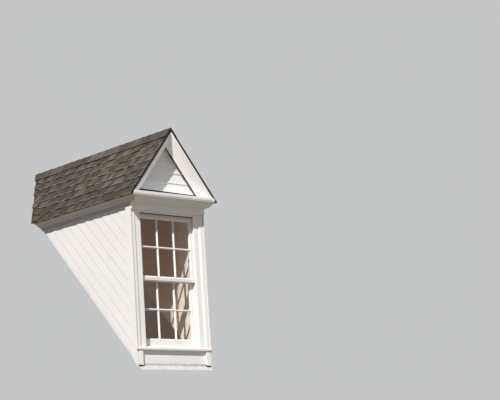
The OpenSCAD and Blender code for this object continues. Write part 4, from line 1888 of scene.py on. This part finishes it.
@dataclass
class ApronFlashing:
    """The painted metal strip under the apron, dressed down the slope in long waves.

    A wave is its height in millimetres, its length, and where in the noise it is read.
    """

    width: float = 80.0
    thick: float = 2.0
    face: float = 24.0
    gap: float = 6.0
    upstand: float = 26.0
    hidden_upstand: float = 1.0
    stations: int = 90
    long_wave: tuple[float, float, float, float] = (2.6, 150.0, 3.1, 0.0)
    short_wave: tuple[float, float, float, float] = (1.0, 46.0, 8.2, 0.0)
    edge_wave: tuple[float, float, float, float] = (3.0, 120.0, 1.7, 4.0)
    edge_share: float = 0.6

    @staticmethod
    def wave(x: float, height: float, length: float, y: float, z: float) -> float:
        """The height of a wave at a place along the strip."""
        return height * value_noise.noise(Vector((x / length, y, z)))

    def section(self, x: float) -> list[tuple[float, float, float]]:
        """Shapes the strip at a place along it.

        Args:
            x: the place.

        Returns:
            The corners of its section there.
        """
        run = self.width * math.cos(SIZES.roof_pitch)
        start = self.face + self.gap
        lift = max(0.0, self.wave(x, *self.long_wave) + self.wave(x, *self.short_wave))
        front = start - run - self.wave(x, *self.edge_wave) * self.edge_share

        def top(y: float, off: float) -> float:
            """Height of the strip's bed there, with the wave on it."""
            return SIZES.on_roof(y, off + lift * ((start - y) / run))

        near = self.face - self.thick
        shown = abs(x) < SIZES.pilaster_in
        high = SIZES.on_roof(self.face) + (self.upstand if shown else self.hidden_upstand)
        return [(x, y, z) for y, z in (
            (front, top(front, 0.0)), (front, top(front, self.thick)),
            (near, top(near, self.thick)), (near, high), (self.face, high),
            (self.face, top(self.face, 0.0)))]

    def build(self) -> None:
        """Builds the strip: its sloped flange and its upstand."""
        carving = Carving()
        half = SIZES.pilaster_edge
        rings = [carving.ring(self.section(-half + 2 * half * k / self.stations))
                 for k in range(self.stations + 1)]
        carving.loft(rings)
        show("flashing_strip", carving.to_mesh("flashing_strip"), FLASHING, ["apron_flashing"])


# Scene


@dataclass
class Setting:
    """The floor, the lights and the camera."""

    yaw: float = math.radians(42.6510)
    pitch: float = math.radians(11.1946)
    roll: float = math.radians(-3.7463)
    place: tuple[float, float, float] = (-10.8572, -13.2531, -1.6110)
    lens: float = 110.737
    sensor: float = 36.0
    sight: float = 400.0
    floor_height: float = -4.6
    floor_reach: float = 60.0
    sun: tuple[float, float, float] = (1.52, 1.0, -1.70)
    sun_power: float = 5.0
    sun_width: float = math.radians(1.2)
    sun_colour: Colour = (1.0, 0.975, 0.94)
    dome: Stops = ((0.0, (0.24, 0.20, 0.15)), (0.48, (0.26, 0.24, 0.21)),
                   (0.54, (0.38, 0.41, 0.45)), (1.0, (0.32, 0.40, 0.52)))
    shaded_side: Colour = (0.055, 0.065, 0.095)
    under_slope: Colour = (0.094, 0.066, 0.049)
    backdrop: Colour = (0.56, 0.565, 0.57)

    def build_camera(self) -> None:
        """Sets the camera where the picture was taken from."""
        data = bpy.data.cameras.new("camera")
        data.lens = self.lens
        data.sensor_width = self.sensor
        data.clip_end = self.sight
        camera = bpy.data.objects.new("camera", data)
        bpy.context.scene.collection.objects.link(camera)
        ahead = Vector((math.sin(self.yaw) * math.cos(self.pitch),
                        math.cos(self.yaw) * math.cos(self.pitch), math.sin(self.pitch)))
        right = Vector((math.cos(self.yaw), -math.sin(self.yaw), 0.0))
        up = right.cross(ahead)
        turned = math.cos(self.roll) * right + math.sin(self.roll) * up
        raised = -math.sin(self.roll) * right + math.cos(self.roll) * up
        matrix = Matrix((turned, raised, -ahead)).transposed().to_4x4()
        matrix.translation = Vector(self.place)
        camera.matrix_world = matrix
        bpy.context.scene.camera = camera

    def build_sun(self) -> None:
        """Sets the soft sun."""
        data = bpy.data.lights.new("key", "SUN")
        data.energy = self.sun_power
        data.color = self.sun_colour
        data.angle = self.sun_width
        key = bpy.data.objects.new("key", data)
        bpy.context.scene.collection.objects.link(key)
        key.rotation_euler = Vector(self.sun).to_track_quat("-Z", "Y").to_euler()

    def build_dome(self) -> None:
        """Sets an even pale dome of light, darker on one side and under the seat's slope."""
        world = bpy.data.worlds.new("studio")
        bpy.context.scene.world = world
        world.use_nodes = True
        graph = Graph(world.node_tree)
        direction = graph.add("ShaderNodeTexCoord")["Generated"]
        parts = graph.axes(direction)
        dome = graph.ramp(parts[2] * 0.5 + 0.5, self.dome)
        shaded = graph.mix(parts[0].between(-0.05, -0.70) * 0.85, dome, self.shaded_side)
        over = graph.vectors("DOT_PRODUCT", direction, tuple(SIZES.roof_normal()))["Value"]
        lit = graph.mix(over.between(-0.04, 0.05), self.under_slope, shaded)
        rays = graph.add("ShaderNodeLightPath")
        seen = rays["Is Camera Ray"] * (rays["Transparent Depth"] < 0.5)
        shown = graph.mix(seen, lit, self.backdrop)
        background = graph.add("ShaderNodeBackground", None, {"Color": shown, "Strength": 1.0})[0]
        graph.add("ShaderNodeOutputWorld", None, {"Surface": background})

    def build_floor(self) -> None:
        """Lays the plain pale floor, far under the dormer."""
        reach, z = self.floor_reach, self.floor_height
        mesh = bpy.data.meshes.new("floor")
        corners = [(x, y, z) for x, y in rectangle(-reach, reach, -reach, reach)]
        mesh.from_pydata(corners, [], [(0, 1, 2, 3)])
        mesh.materials.append(FLOOR.material())
        floor = bpy.data.objects.new("floor", mesh)
        bpy.context.scene.collection.objects.link(floor)

    def build(self) -> None:
        """Builds the setting."""
        self.build_camera()
        self.build_sun()
        self.build_dome()
        self.build_floor()
        view = bpy.context.scene.view_settings
        view.view_transform = "Standard"
        view.look = "None"


def main() -> None:
    """Builds the setting and the dormer's pieces in order."""
    logging.basicConfig(level=logging.INFO, format="%(name)s: %(message)s")
    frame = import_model()
    scattering = Scattering("Scattering")
    cheeks = CheekBoards()
    Setting().build()
    EasedSolids().build(frame["nodes"])
    ShadeStrips().build()
    cheeks.build()
    TympanumBoards().build()
    NailHeads(scattering).build(cheeks)
    ShingledRoof(scattering).build()
    SashWindow().build()
    ApronFlashing().build()


if __name__ == "__main__":
    main()
